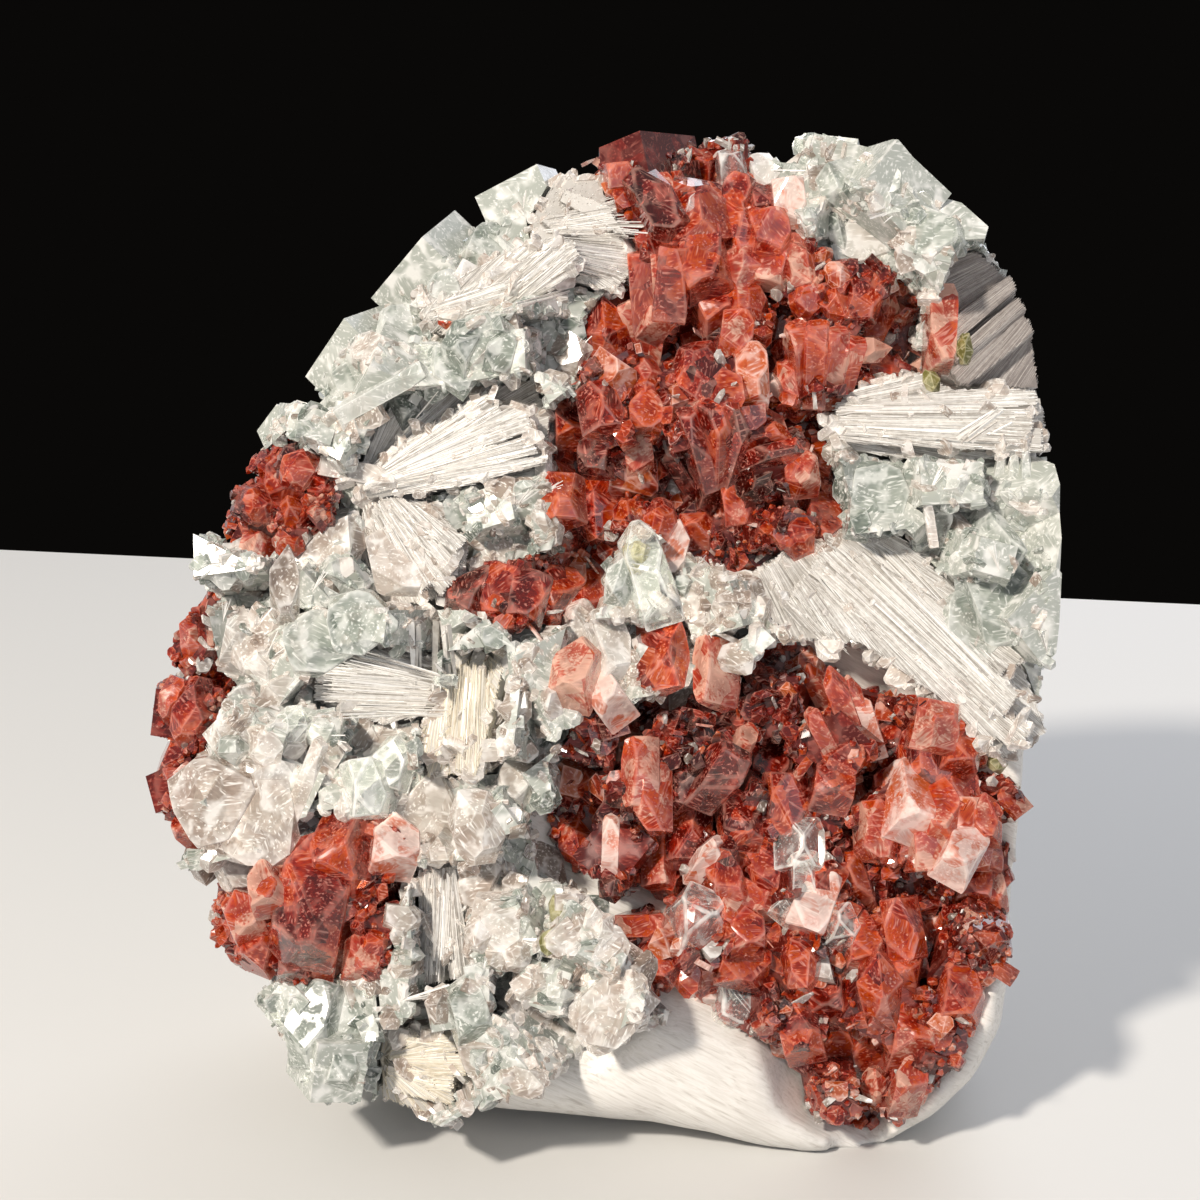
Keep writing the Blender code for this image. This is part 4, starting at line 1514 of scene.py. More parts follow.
@dataclass
class Studio:
    """A pale table, a strong key from the upper left, weak fills, and the camera square to the face."""

    table_edge: float = 0.352
    table_slant: float = math.radians(-9.8)
    table_size: float = 3.0
    table_roughness: float = 0.55
    sky: float = 0.38

    AIM = Vector((0.0, 0.0, 0.08))
    LAMPS = (
        ("key", (-0.75, -0.85, 1.05), 0.14, 25.5, "#fff6ea"),
        ("fill", (0.9, -1.0, 0.5), 1.2, 3.0, "#f4f5ff"),
        ("back", (0.5, 1.2, 0.7), 1.2, 8.0, "#f4f6ff"),
    )
    MOST_BOUNCES = 6
    SURFACE_BOUNCES = 2

    def build(self) -> None:
        """Sets the table, the lights, the world and the camera."""
        self.table()
        self.lights()
        self.world()
        self.camera()

    def table(self) -> None:
        """A flat pale top whose far edge lies behind the stone."""
        bm = bmesh.new()
        bmesh.ops.create_grid(bm, x_segments=1, y_segments=1, size=self.table_size / 2)
        bmesh.ops.translate(bm, verts=bm.verts[:], vec=(0.0, -self.table_size / 2, 0.0))
        bmesh.ops.rotate(bm, verts=bm.verts[:], cent=(0.0, 0.0, 0.0),
                         matrix=Matrix.Rotation(self.table_slant, 3, "Z"))
        bmesh.ops.translate(bm, verts=bm.verts[:], vec=(0.0, self.table_edge, 0.0))
        mesh = bpy.data.meshes.new("table")
        bm.to_mesh(mesh)
        bm.free()
        top = bpy.data.objects.new("table", mesh)
        bpy.context.scene.collection.objects.link(top)
        paint = bpy.data.materials.new("pale matt table")
        paint.use_nodes = True
        shader = paint.node_tree.nodes["Principled BSDF"]
        shader.inputs["Base Color"].default_value = linear("#d6d5d2")
        shader.inputs["Roughness"].default_value = self.table_roughness
        mesh.materials.append(paint)

    def lights(self) -> None:
        """One small strong lamp, and wide weak ones so that no side is lost."""
        for name, place, size, watts, code in self.LAMPS:
            lamp = bpy.data.lights.new(name, "AREA")
            lamp.shape = "DISK"
            lamp.size = size
            lamp.energy = watts
            lamp.color = linear(code)[:3]
            holder = bpy.data.objects.new(name, lamp)
            holder.location = place
            holder.rotation_mode = "QUATERNION"
            holder.rotation_quaternion = (Vector(place) - self.AIM).to_track_quat("Z", "Y")
            bpy.context.scene.collection.objects.link(holder)

    def world(self) -> None:
        """A soft sky that lights the stone, dark where the camera sees it, and few light bounces."""
        world = bpy.data.worlds.new("dark room with soft sky")
        world.use_nodes = True
        tree = world.node_tree
        tree.nodes.clear()
        seen = add_node(tree, "ShaderNodeLightPath").outputs["Is Camera Ray"]
        sky = add_node(tree, "ShaderNodeBackground", {"Color": linear("#f2f5fa"), "Strength": self.sky})
        dark = add_node(tree, "ShaderNodeBackground", {"Color": linear("#0a0908"), "Strength": 1.0})
        both = add_node(tree, "ShaderNodeMixShader", (seen, sky, dark))
        add_node(tree, "ShaderNodeOutputWorld", {"Surface": both})
        scene = bpy.context.scene
        scene.world = world
        scene.view_settings.view_transform = "Standard"
        scene.cycles.max_bounces = scene.cycles.transmission_bounces = self.MOST_BOUNCES
        scene.cycles.glossy_bounces = scene.cycles.diffuse_bounces = self.SURFACE_BOUNCES

    def camera(self) -> None:
        """Looks straight at the face, so that the chart fills the frame."""
        lens = bpy.data.cameras.new("camera")
        lens.lens = LENS
        lens.sensor_width = SENSOR
        holder = bpy.data.objects.new("camera", lens)
        holder.location = Vector((on_face(FRAME_MIDDLE) + OUT * CAMERA_AWAY) * MM)
        holder.rotation_mode = "QUATERNION"
        holder.rotation_quaternion = Vector(OUT).to_track_quat("Z", "Y")
        bpy.context.scene.collection.objects.link(holder)
        bpy.context.scene.camera = holder


RED_PATCHES = tuple(Patch((x, y), reach, tint) for x, y, reach, tint in (
    (700, 760, 110, 0.14), (672, 235, 22, 0.05), (764, 354, 18, 0.05), (480, 600, 26, 0.08),
    (620, 462, 40, 0.1), (655, 172, 30, 0.12), (657, 290, 34, 0.6), (612, 345, 40, 0.55),
    (750, 380, 30, 0.6), (820, 525, 40, 0.6), (835, 278, 16, 0.62), (930, 840, 60, 0.68),
    (858, 880, 26, 0.6), (880, 1000, 50, 0.55), (960, 990, 40, 0.58), (740, 910, 50, 0.72),
    (850, 710, 40, 0.85), (570, 850, 30, 0.62), (820, 360, 40, 0.74), (790, 260, 30, 0.85),
    (660, 210, 30, 0.66), (590, 505, 40, 0.5), (280, 550, 34, 0.86), (180, 640, 30, 0.72),
    (340, 900, 40, 0.3), (250, 920, 30, 0.7), (870, 1100, 30, 0.9),
))
BLOCKY = (Form.BLOCK, Form.BLOCK, Form.TABLET, Form.SHARD, Form.SPIRE, Form.NUGGET)
FLAT = (Form.PLATE, Form.PLATE, Form.TABLET, Form.BLOCK)
MIXED = (Form.BLOCK, Form.TABLET, Form.SHARD, Form.BLADE, Form.SPIRE, Form.NUGGET)

RED_LOOKS = ((Look.RED, 0.85), (Look.RUBY, 0.12), (Look.FROSTED, 0.03))
EDGE_LOOKS = ((Look.RED, 0.84), (Look.RUBY, 0.1), (Look.FROSTED, 0.06))
# Thin white frosted crystals strewn over the stained beds: partly real frosted crystals, and partly painted
# glints.
SLIVERS_AND_PAINTED_GLINTS = ((Look.FROSTED, 0.5), (Look.RUBY, 0.5))
GLITTER_AND_PAINTED_GLINTS = ((Look.RED, 0.78), (Look.RUBY, 0.12), (Look.FROSTED, 0.1))
RED_LAYERS = (
    Layer(BLOCKY, (4.5, 11.0), 4.2, RED_LOOKS, sink=0.74, tilt=0.45, tint=(0.44, 0.25)),
    Layer(MIXED, (2.0, 5.0), 2.5, RED_LOOKS, sink=0.6, tilt=0.6, tint=(0.42, 0.27)),
    Layer(MIXED, (0.9, 2.2), 1.6, GLITTER_AND_PAINTED_GLINTS, sink=0.45, tilt=0.9, tint=(0.5, 0.28), fine=True),
    Layer((Form.BLADE, Form.SHARD), (2.0, 5.0), 4.5, SLIVERS_AND_PAINTED_GLINTS, sink=0.1, tilt=0.9, tint=(0.95, 0.1),
          slim=0.3, fine=True),
)
RED_EDGE_LAYERS = (
    Layer(BLOCKY, (3.0, 8.0), 3.2, EDGE_LOOKS, sink=0.72, tint=(0.46, 0.2)),
    Layer(MIXED, (1.6, 4.0), 2.1, RED_LOOKS, sink=0.55, tint=(0.5, 0.2)),
    Layer(MIXED, (0.8, 2.0), 1.5, GLITTER_AND_PAINTED_GLINTS, sink=0.45, tilt=0.9, tint=(0.55, 0.28), fine=True),
)
SEEN_THROUGH = 0.03


def pale_layers(green: float, size: float = 1.0, grain: float = 45.0) -> tuple:
    """The growths of a pale bed.

    Args:
        green: The share of its crystals that are greenish.
        size: How large they are against the usual.
        grain: The way that its loose needles lie, in degrees round the face from the right.

    Returns:
        Broad low plates, smaller crystals between them, fine ones over all, and tufts of white needles.
    """
    milky = 1 - SEEN_THROUGH
    looks = ((Look.GREEN, green * milky), (Look.FROSTED, (1 - green) * milky), (Look.CLEAR, SEEN_THROUGH))
    return (
        Layer(FLAT, (5.0 * size, 13.0 * size), 5.0 * size, looks, sink=0.76, tilt=0.3, outward=0.7,
              tint=(0.48, 0.25)),
        Layer(SPLINTERS, (2.5 * size, 7.5 * size), 3.0 * size, looks, sink=0.7, tilt=0.6, outward=0.6,
              tint=(0.55, 0.28)),
        Layer(SPLINTERS, (1.0, 2.8), 2.1, looks, sink=0.5, tilt=0.9, tint=(0.68, 0.28), fine=True),
        Layer((Form.NEEDLE,), (3.0, 11.0), 5.0, ((Look.SILK, 1.0),), sink=0.1, tint=(0.8, 0.2), slim=0.045,
              along=(grain, 40.0, 9.0), tuft=9),
    )


BEDS = tuple(Bed(f"{label}_crystals", *rest) for label, *rest in (
    ("upper_red", "upper_red_crust", STAINED, RED_LAYERS, 101, RED_PATCHES),
    ("lower_red", "lower_red_crust", STAINED, RED_LAYERS, 102, RED_PATCHES),
    ("left_pocket_red", "left_pocket_red", STAINED, RED_EDGE_LAYERS, 103, RED_PATCHES),
    ("left_edge_red", "left_edge_red", STAINED, RED_EDGE_LAYERS, 104, RED_PATCHES),
    ("lower_left_red", "lower_left_red", STAINED, RED_EDGE_LAYERS, 105, RED_PATCHES),
    ("upper_left", "upper_left_druse", GREENISH, pale_layers(0.65, 1.0, 42.0), 106),
    ("top_right", "top_right_druse", GREENISH, pale_layers(0.55, 0.9, 120.0), 107),
    ("right", "right_druse", GREENISH, pale_layers(0.75, 1.2, 100.0), 108),
    ("green_ball", "green_ball", GREENISH, pale_layers(0.95, 1.1, 60.0)[:3], 109),
    ("centre", "centre_druse", COLOURLESS, pale_layers(0.4, 0.9, 10.0), 110),
    ("left_clear", "left_clear_druse", COLOURLESS, pale_layers(0.35, 1.0, 60.0), 111),
    ("lower_clear", "lower_clear_druse", COLOURLESS, pale_layers(0.2, 0.9, 80.0), 112),
    ("middle", "middle_ridge", COLOURLESS, pale_layers(0.15, 0.9, 20.0), 113,
     (Patch((600, 650), 60, 0.3), Patch((700, 620), 40, 0.25))),
))

B, T, P, S, H, D, N = Form.BLOCK, Form.TABLET, Form.PLATE, Form.SPIRE, Form.SHARD, Form.BLADE, Form.NUGGET
R, U, C, G, F, O = Look.RED, Look.RUBY, Look.CLEAR, Look.GREEN, Look.FROSTED, Look.OLIVE
HALF_ROSETTE = tuple(
    Hero((680 + 14 * k, 458 - 15 * math.sin(0.55 * k)), (8.0, 3.0, 15.0), D, (125 - 17 * k, 38),
         0.24 + 0.09 * (k % 3), lift=1.5, roll=18 * k) for k in range(7))
LOW_ROW = tuple(
    Hero((475 + 27 * k, 596 - 7 * (k % 2)), (9.5, 7.0, 9.0), B, (120 - 15 * k, 55), tint, lift=0.5)
    for k, tint in enumerate((0.2, 0.55, 0.35, 0.42, 0.6)))
HERO_GROUPS = (
    HeroGroup("upper_red_large_crystals", STAINED, crystals(
        (709, 158, 6.5, 5, 8, T, 80, 60, 0.58), (733, 163, 5, 5, 8, B, 95, 50, 0.5, C),
        (657, 173, 9, 5, 6, B, 60, 70, 0.14), (618, 176, 8, 5, 6, T, 100, 60, 0.6),
        (655, 208, 13, 6.5, 8, B, 80, 75, 0.2, R, 0, 8), (662, 200, 8, 4, 5, T, 70, 70, 0.8, R, 1),
        (690, 217, 2.6, 2.6, 7, H, 65, 35, 0.5, C, 2.5), (712, 204, 8, 5, 6.5, N, 40, 60, 0.42),
        (736, 196, 8, 5, 6, T, 120, 60, 0.5), (762, 200, 7, 5, 7, H, 100, 50, 0.3),
        (625, 242, 12, 8, 11, B, 110, 75, 0.62, R, 0, 20), (650, 236, 7, 6, 9, N, 90, 60, 0.7),
        (700, 262, 12, 9, 12, B, 100, 60, 0.5, R, 0, 30), (733, 228, 11, 7, 9, B, 150, 60, 0.5, R, 0, 12),
        (768, 238, 9, 7, 9, B, 30, 60, 0.72), (740, 262, 11, 8, 10, N, 90, 70, 0.64),
        (647, 290, 6, 6, 14, B, 95, 18, 0.55, R, 2), (671, 288, 5, 6, 13, B, 84, 20, 0.53, R, 1.6),
        (655, 282, 1.6, 1.4, 8, B, 94, 10, 0.98, R, 5.6), (712, 300, 12, 8, 9, B, 70, 70, 0.62, R, 0, 40),
        (745, 302, 10, 8, 10, N, 120, 70, 0.68), (700, 330, 12, 8, 8, T, 90, 70, 0.7, R, 0, 15),
        (735, 340, 9, 6, 7, B, 60, 70, 0.74, R, 1), (611, 345, 12, 10, 16, N, 100, 30, 0.53, R, 1.5),
        (640, 330, 3.4, 3, 13, D, 118, 20, 0.98, R, 5), (655, 318, 6, 5, 9, H, 60, 50, 0.92, R, 2.5),
        (655, 352, 3, 2.4, 12, H, 80, 20, 0.94, R, 4), (790, 204, 9, 6, 9, B, 80, 70, 0.96, U),
        (770, 262, 9, 7, 8, B, 120, 70, 0.92, R, 1.5), (798, 264, 10, 7, 8, N, 60, 70, 0.88, R, 1.5),
        (834, 278, 5, 5, 6, N, 90, 70, 0.6, U, 1.2), (805, 298, 8, 6, 8, N, 90, 70, 0.74),
        (832, 306, 7, 6, 7, N, 90, 70, 0.76), (862, 300, 8, 6, 8, B, 70, 60, 0.5),
        (880, 322, 9, 6, 8, B, 110, 60, 0.56), (892, 300, 6, 5, 8, N, 70, 60, 0.9),
        (800, 362, 6, 4, 15, D, 100, 38, 0.8, R, 2, 20), (815, 364, 6, 4, 16, D, 92, 35, 0.72, R, 2, -10),
        (830, 366, 6, 4, 15, D, 84, 35, 0.78, R, 2, 12), (846, 370, 5, 4, 13, D, 76, 35, 0.7, R, 2),
        (792, 378, 8, 6, 9, N, 90, 60, 0.86), (857, 350, 6.5, 5.5, 9.5, N, 5, 10, 1, R, 4.5),
        (880, 362, 9, 6, 8, B, 60, 60, 0.72), (749, 380, 10, 6, 10, B, 85, 60, 0.6, U),
        (775, 386, 5, 5, 8, H, 80, 50, 0.97, U), (697, 378, 12, 9, 11, N, 90, 70, 0.28),
        (645, 385, 10, 7, 9, N, 130, 60, 0.7), (603, 412, 9, 6, 9, B, 45, 50, 0.42, R, 1),
        (570, 418, 9, 6, 8, B, 100, 60, 0.5), (645, 412, 8, 6, 9, B, 70, 70, 0.72),
        (638, 451, 8, 5, 7, T, 110, 70, 0.78), (600, 450, 9, 6, 8, B, 140, 60, 0.12),
        (560, 440, 8, 6, 8, N, 90, 70, 0.5), (594, 507, 15, 9, 12, N, 100, 60, 0.44, R, 0.8),
        (562, 500, 9, 6, 9, B, 120, 60, 0.6), (560, 478, 7, 6, 8, S, 120, 50, 0.88),
        (822, 524, 13, 8, 14, T, 60, 50, 0.57, R, 1), (800, 536, 8, 7, 9, N, 60, 50, 0.52),
        (800, 470, 8, 6, 9, B, 90, 60, 0.72), (822, 455, 7, 6, 8, B, 60, 60, 0.54),
        (772, 432, 8, 6, 7, T, 90, 60, 0.96, R, 1), (740, 500, 9, 6, 8, B, 60, 60, 0.66),
        (700, 520, 9, 6, 8, B, 110, 60, 0.7), (660, 520, 9, 6, 8, N, 110, 60, 0.62),
    ) + HALF_ROSETTE + LOW_ROW, 301),
    HeroGroup("lower_red_large_crystals", STAINED, crystals(
        (830, 700, 4.5, 4, 16, H, 118, 25, 0.84, R, 2.5), (842, 706, 4.5, 4, 17, H, 112, 22, 0.7, R, 2.5),
        (856, 712, 4.5, 4, 15, H, 106, 22, 0.9, R, 2.5), (868, 724, 4, 3.5, 13, H, 110, 20, 0.99, U, 2.5),
        (822, 736, 3, 3, 12, H, 120, 20, 0.95, R, 2.5), (930, 726, 9, 8, 10, S, 80, 60, 0.76, R, 1),
        (925, 762, 14, 9, 12, N, 90, 60, 0.45), (898, 742, 10, 8, 9, B, 130, 60, 0.4),
        (958, 748, 9, 7, 10, B, 60, 60, 0.5), (955, 785, 10, 7, 9, B, 30, 60, 0.62),
        (798, 843, 9, 6, 7, B, 20, 40, 0.5, C, 4), (801, 868, 4.5, 4, 6, B, 90, 20, 0.5, C, 4),
        (812, 900, 11, 7, 9, B, 80, 60, 0.97, U, 2), (790, 905, 6, 5, 7, B, 40, 60, 0.5, C, 2),
        (838, 930, 6.5, 5.5, 9.5, B, 50, 45, 0.5, C, 2.5),
        (692, 920, 9.5, 7, 12, B, 75, 30, 0.5, C, 2.5, 20), (690, 922, 5, 4, 7, N, 75, 30, 0.72, R, 1.5),
        (740, 1000, 10.5, 8, 10, B, 40, 60, 0.5, C, 1.5, 15), (712, 996, 6, 5, 7, B, 70, 50, 0.98, U, 1),
        (905, 800, 13, 7, 12, T, 60, 60, 0.84, U, 2), (898, 805, 7, 5, 7, N, 60, 60, 0.6, R, 2),
        (935, 812, 11, 7, 12, T, 100, 60, 0.8, R, 1.5), (925, 838, 11, 7, 10, B, 40, 60, 0.9, R, 1.5),
        (955, 850, 10, 7, 10, B, 70, 60, 0.95, U, 2), (860, 800, 9, 6, 8, B, 70, 60, 0.88, R, 1),
        (875, 830, 10, 6, 9, B, 30, 60, 0.82, R, 1), (855, 880, 10, 7, 13, B, 115, 40, 0.6, R, 1.5),
        (997, 862, 6.5, 5, 7, S, 90, 50, 0.6), (985, 820, 8, 5, 9, B, 90, 60, 0.64),
        (1000, 900, 8, 6, 9, B, 90, 60, 0.84), (980, 885, 10, 6, 9, B, 60, 60, 0.5),
        (878, 996, 13, 8, 15, N, 95, 30, 0.54, R, 1), (905, 985, 7, 6, 12, B, 80, 30, 0.5),
        (960, 988, 13, 8, 13, B, 60, 50, 0.54), (930, 960, 10, 7, 10, B, 60, 60, 0.45),
        (905, 930, 11, 7, 10, B, 120, 60, 0.62), (865, 945, 9, 7, 11, B, 80, 50, 0.66),
        (760, 892, 11, 7, 9, B, 110, 60, 0.86, R, 1.5), (770, 870, 10, 7, 8, B, 160, 60, 0.55, R, 1),
        (735, 905, 10, 7, 9, B, 60, 60, 0.82, R, 1), (725, 880, 9, 6, 8, B, 60, 60, 0.58, R, 0.5),
        (745, 930, 8, 6, 9, B, 90, 60, 0.6), (703, 860, 3.5, 3, 10, H, 60, 25, 0.96, U, 2),
        (660, 860, 12, 5, 5, T, 20, 30, 0.66, R, 1.5), (610, 850, 3.2, 3, 13, H, 88, 15, 0.95, U, 2.5),
        (575, 848, 10, 7, 10, N, 90, 60, 0.66), (590, 790, 8, 6, 9, N, 90, 60, 0.56),
        (640, 770, 12, 5, 5, T, 170, 30, 0.92, R, 1.5), (650, 795, 12, 5, 6, B, 170, 30, 0.76, R, 1.5),
        (625, 745, 10, 4, 5, B, 165, 30, 0.84, R, 1.5), (738, 780, 4, 3, 9, H, 85, 20, 0.97, R, 2),
        (742, 745, 6, 4, 7, T, 60, 40, 0.94, R, 2), (715, 772, 7, 6, 13, D, 50, 35, 0.3, R, 2),
        (775, 770, 12, 7, 9, B, 80, 60, 0.18), (690, 830, 12, 6, 7, B, 20, 40, 0.34),
        (740, 820, 10, 7, 8, B, 70, 60, 0.36), (785, 805, 11, 7, 10, B, 40, 60, 0.5),
        (830, 780, 10, 7, 9, B, 70, 60, 0.42), (800, 960, 10, 7, 9, N, 70, 60, 0.5),
        (830, 1000, 9, 7, 12, B, 110, 50, 0.48), (800, 1030, 9, 7, 10, B, 110, 50, 0.42),
        (770, 960, 9, 7, 9, N, 70, 60, 0.56), (845, 1050, 8, 6, 13, B, 115, 30, 0.66),
        (875, 1060, 8, 6, 12, B, 100, 30, 0.6), (910, 1040, 9, 7, 12, B, 80, 40, 0.72),
        (879, 1098, 7, 5.5, 9, N, 95, 40, 0.99, R, 1), (905, 1085, 7, 5.5, 9, T, 80, 40, 0.9),
        (665, 960, 9, 6, 9, B, 60, 60, 0.55), (690, 975, 9, 6, 9, N, 60, 60, 0.58),
        (645, 925, 6, 4, 9, H, 5, 25, 0.84, R, 1.5), (975, 735, 5, 4, 9, T, 100, 50, 0.93, R, 1),
        (982, 760, 5, 4, 9, T, 80, 50, 0.9, R, 1), (1003, 766, 4, 3.5, 5, N, 80, 50, 0.4, O, 1),
        (560, 905, 6, 4, 8, N, 80, 50, 0.7, O), (552, 930, 5, 4, 7, N, 80, 50, 0.6, O),
    ), 302),
    HeroGroup("left_red_large_crystals", STAINED, crystals(
        (318, 895, 20, 12, 17, B, 80, 60, 0.34, R, 1, 6),
        (352, 852, 12, 8, 12, B, 250, 45, 0.54, R, 1.5, 25), (395, 842, 10, 8, 10, B, 80, 60, 0.96, U),
        (300, 842, 9, 7, 9, B, 50, 60, 0.5, C, 2.5), (335, 932, 14, 8, 9, T, 100, 50, 0.72, R, 1),
        (300, 952, 8, 6, 8, B, 60, 60, 0.1), (325, 955, 6, 5, 7, T, 60, 60, 0.5),
        (367, 950, 7.5, 6, 9, T, 70, 50, 0.99, R, 1), (378, 938, 5, 5, 8, N, 100, 50, 0.46, R, 1),
        (376, 962, 5, 4, 6, N, 100, 50, 0.42, R, 1), (252, 912, 8, 6, 12, B, 100, 50, 0.86),
        (268, 940, 9, 6, 10, B, 120, 50, 0.66), (278, 880, 8, 6, 9, B, 120, 50, 0.9),
        (278, 480, 9, 7, 11, B, 70, 50, 0.56), (300, 475, 8, 7, 10, N, 70, 50, 0.64),
        (318, 482, 6, 5, 9, B, 100, 50, 0.3), (258, 505, 8, 6, 9, N, 110, 50, 0.42),
        (292, 512, 7, 6, 8, S, 90, 60, 0.66), (310, 528, 8, 6, 8, B, 70, 60, 0.36),
        (255, 546, 11, 7, 10, N, 60, 60, 0.95, R, 1), (193, 637, 9, 6, 13, B, 100, 30, 0.8),
        (200, 610, 8, 5, 8, N, 100, 40, 0.74), (190, 715, 12, 8, 15, N, 60, 40, 0.46),
        (175, 700, 8, 6, 10, N, 60, 40, 0.76), (180, 745, 9, 6, 14, B, 60, 30, 0.5),
        (160, 790, 6, 5, 9, B, 60, 30, 0.1), (184, 826, 7, 5, 9, B, 130, 40, 0.66),
    ), 303),
    HeroGroup("pale_large_crystals", GREENISH, crystals(
        (990, 540, 20, 5, 17, T, 60, 30, 0.5, G, 1, 30), (1000, 600, 16, 14, 5, P, 80, 70, 0.42, G),
        (930, 518, 9, 6, 11, B, 75, 40, 0.5, C, 2), (925, 520, 2, 1.6, 10, B, 100, 10, 0.95, F, 3),
        (965, 630, 14, 12, 5, P, 60, 70, 0.5, G), (1010, 665, 14, 14, 5, P, 100, 70, 0.4, G),
        (880, 500, 12, 12, 5, P, 60, 70, 0.35, G), (1000, 470, 1.8, 1.6, 9, B, 80, 15, 0.9, G, 1),
        (1012, 472, 1.8, 1.6, 9, B, 86, 15, 0.9, G, 1), (1023, 474, 1.8, 1.6, 9, B, 92, 15, 0.8, G, 1),
        (845, 180, 10, 9, 5, P, 70, 70, 0.55, G), (880, 190, 9, 10, 5, P, 120, 70, 0.4, G),
        (925, 240, 10, 10, 5, P, 120, 70, 0.42, G), (870, 235, 10, 9, 5, P, 60, 70, 0.85, F),
        (835, 225, 9, 5, 9, N, 60, 70, 0.35, G), (320, 1022, 15, 8, 14, B, 110, 60, 0.4, G),
        (352, 1050, 12, 8, 12, B, 60, 60, 0.42, G), (335, 1078, 12, 7, 9, B, 70, 50, 0.45, G),
        (300, 1050, 9, 7, 10, B, 140, 50, 0.4, G), (350, 1010, 9, 7, 10, B, 80, 60, 0.5, G),
        (395, 325, 10, 9, 5, P, 60, 70, 0.6, G), (350, 380, 10, 9, 5, P, 110, 70, 0.55, G),
        (485, 245, 9, 9, 5, P, 60, 70, 0.45, G), (445, 290, 9, 8, 5, P, 60, 70, 0.6, G),
        (502, 360, 7, 5, 8, B, 80, 60, 0.02, G), (405, 408, 6, 5, 10, B, 80, 60, 0.02, G),
        (465, 350, 9, 6, 9, B, 80, 60, 0.12, G), (445, 323, 3, 2.5, 3, N, 80, 60, 0.5),
        (388, 398, 4, 3, 17, B, 27, 12, 0.85, G, 1.5), (362, 473, 5, 3.5, 14, B, -11, 12, 0.9, F, 1),
    ), 304),
    HeroGroup("clear_large_crystals", COLOURLESS, crystals(
        (648, 574, 16, 7, 15, B, 80, 60, 0.5, C, 1), (622, 578, 12, 6, 10, N, 80, 60, 0.45, G),
        (672, 550, 10, 6, 10, T, 60, 60, 0.96, U), (640, 560, 5, 4, 8, N, 60, 60, 0.85, O),
        (578, 672, 11, 7, 12, B, 100, 50, 0.99, R, 1, -14), (608, 650, 11, 6, 11, T, 60, 60, 0.9, F, 1.5),
        (606, 695, 9, 6, 12, B, 120, 60, 0.97, U, 1), (580, 640, 12, 7, 12, B, 80, 60, 0.7, F),
        (690, 690, 16, 4, 6, B, 30, 30, 0.8, F, 1), (662, 655, 13, 5, 8, T, 20, 40, 0.5, R, 0.5),
        (715, 672, 12, 4, 8, T, 160, 40, 0.97, R, 0.5), (372, 785, 10, 7, 11, B, 50, 60, 0.5, C, 1.5),
        (395, 762, 9, 6, 9, B, 120, 60, 0.5, C, 1), (310, 780, 5, 3, 17, B, 65, 20, 0.75, F, 1.5),
        (300, 722, 7, 6, 7, N, 90, 60, 0.5, C, 1), (276, 742, 7, 6, 7, N, 90, 60, 0.7, F, 1),
        (296, 740, 6, 6, 7, N, 90, 60, 0.6, F, 1), (292, 588, 13, 5, 17, T, 60, 50, 0.05, F, 1),
        (240, 640, 7, 5, 10, T, 70, 40, 0.95, F, 1), (478, 887, 9, 6, 9, B, 90, 70, 0.55, F, 1),
        (512, 887, 4, 4, 8, B, 90, 60, 0.2, F, 1), (482, 926, 8, 5, 8, N, 90, 60, 0.6, F),
        (603, 920, 6, 4, 8, N, 90, 50, 0.9, F), (520, 945, 7, 5, 8, N, 90, 60, 0.6, F),
        (470, 1000, 10, 6, 10, B, 110, 60, 0.3, G), (440, 1020, 5, 4, 13, B, 105, 30, 0.6, F),
        (225, 790, 16, 14, 6, P, 60, 70, 0.35, F), (265, 815, 15, 14, 6, P, 60, 70, 0.5, F),
        (250, 860, 13, 12, 6, P, 60, 70, 0.55, F), (330, 640, 12, 14, 6, P, 60, 70, 0.5, G),
        (370, 620, 12, 12, 6, P, 60, 70, 0.35, G), (400, 560, 12, 12, 6, P, 60, 70, 0.7, F),
        (430, 810, 14, 12, 6, P, 60, 70, 0.6, F), (480, 820, 14, 9, 10, N, 60, 50, 0.5, F),
        (520, 780, 12, 6, 12, B, 60, 60, 0.75, F), (545, 880, 10, 6, 10, B, 80, 60, 0.05, F),
        (556, 985, 1.5, 1.2, 2, N, 80, 60, 0.05, O), (940, 330, 14, 5, 13, T, 70, 70, 0.93, R, 0.5),
        (935, 322, 4, 3.5, 9, B, 60, 20, 0.5, R, 2.5), (935, 372, 8, 5, 9, B, 100, 60, 0.92, R, 0.5),
        (963, 350, 6, 3, 6, N, 100, 60, 0.35, O), (932, 380, 6, 3, 4, N, 100, 60, 0.55, O, 0.5),
    ), 305),
)

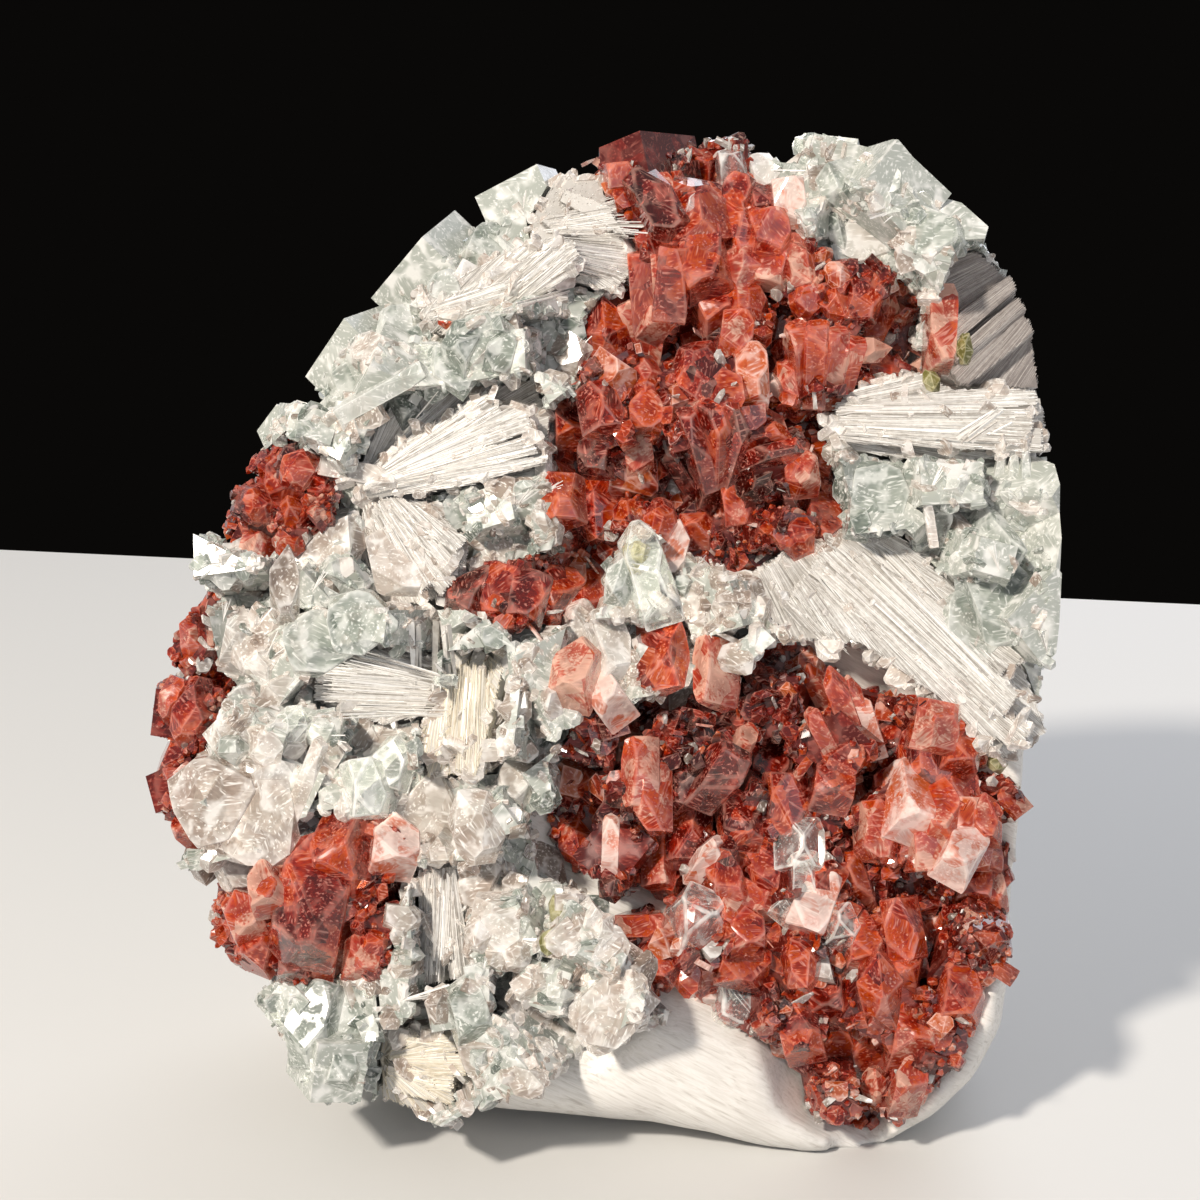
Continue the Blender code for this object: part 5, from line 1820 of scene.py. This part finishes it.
SPRAYS = (
    Spray("left_fan_needles", "left_fan", (358, 486, 4), SILK, 201, (
        Sheaf(((360, 482), (372, 490)), ((450, 383), (554, 472)), 330, pile=2.0),)),
    Spray("upper_spray_needles", "upper_spray", (380, 370, 8), SILK, 202, (
        Sheaf(((425, 325), (432, 305)), ((520, 300), (510, 280)), 110, pile=1.5),
        Sheaf(((521, 305), (510, 285)), ((580, 262), (560, 240)), 120, pile=1.5, lift=0.5),
        Sheaf(((505, 325), (500, 318)), ((578, 287), (574, 280)), 40, pile=1.5, lift=0.5),)),
    Spray("crown_needles", "crown_spray", (520, 225, 12), SILK, 203, (
        Sheaf(((545, 215), (545, 265)), ((625, 195), (640, 285)), 260, pile=1.2),)),
    Spray("middle_fan_needles", "middle_fan", (352, 470, 6), SILK, 204, (
        Sheaf(((365, 500), (385, 500)), ((395, 600), (470, 590)), 200, pile=1.5),)),
    Spray("palm_needles", "palm_spray", (470, 690, 4), SILK, 205, (
        Sheaf(((440, 670), (450, 715)), ((330, 655), (320, 715)), 260, pile=2, lift=1.2),
        Sheaf(((450, 672), (450, 690)), ((345, 640), (335, 668)), 90, pile=2, lift=1.5),
        Sheaf(((412, 622), (455, 622)), ((410, 690), (458, 690)), 9, (1.0, 1.5), 2, 0.05, 3.0, lift=1.0),)),
    Spray("cream_needles", "cream_mass", (470, 640, 8), CREAM, 206, (
        Sheaf(((450, 660), (495, 660)), ((440, 770), (495, 770)), 160, pile=1.5, lift=0.5),)),
    Spray("lower_bundle_needles", "lower_bundle", (440, 800, 2), SILK, 207, (
        Sheaf(((425, 870), (455, 870)), ((425, 975), (450, 975)), 120, pile=1.5, lift=0.8),)),
    Spray("foot_needles", "foot_cluster", (380, 1060, 2), CREAM, 208, (
        Sheaf(((425, 1062), (425, 1088)), ((462, 1058), (462, 1088)), 90, pile=1.2),)),
    Spray("level_bundle_needles", "level_bundle", (740, 420, 4), SILK, 209, (
        Sheaf(((828, 400), (828, 432)), ((1030, 390), (1030, 450)), 330, pile=1.5),
        Sheaf(((950, 440), (962, 446)), ((985, 412), (1003, 420)), 10, (0.4, 0.8), 1.5, 0.1, 3.0, 2.0),)),
    Spray("diagonal_bundle_needles", "diagonal_bundle", (690, 420, 4), SILK, 210, (
        Sheaf(((895, 545), (800, 566)), ((1024, 690), (948, 700)), 600, (0.15, 0.5), 2.0),)),
    Spray("corner_needles", "corner_fibres", (1150, 180, 4), WORN_SILK, 211, width=(0.12, 0.3), layers=()),
)

SOLID_FINISHES = {
    # The stained beds' own solids take the dark core, which paints shade into the gaps between their
    # crystals.
    **{bed.node: RED_CORE_AND_GAP_SHADE if bed.slot == STAINED else PALE_CORE for bed in BEDS},
    **{spray.node: SILK_CORE for spray in SPRAYS},
    "corner_fibres": WORN_SILK,
}


def main() -> None:
    """Builds the specimen's looks in order, then the studio round it."""
    logging.basicConfig(level=logging.INFO, format="%(message)s")
    nodes = frame["nodes"]
    ground = Ground(nodes)
    kit = Kit(KIT_SEED)
    dress_solids(nodes, SOLID_FINISHES)
    Stone().build(nodes)
    clear_of = np.array([hero.footprint() for group in HERO_GROUPS for hero in group.heroes])
    for bed in BEDS:
        bed.build(ground, kit, clear_of)
    for piece in HERO_GROUPS + SPRAYS:
        piece.build(ground, kit)
    Studio().build()


if __name__ == "__main__":
    main()
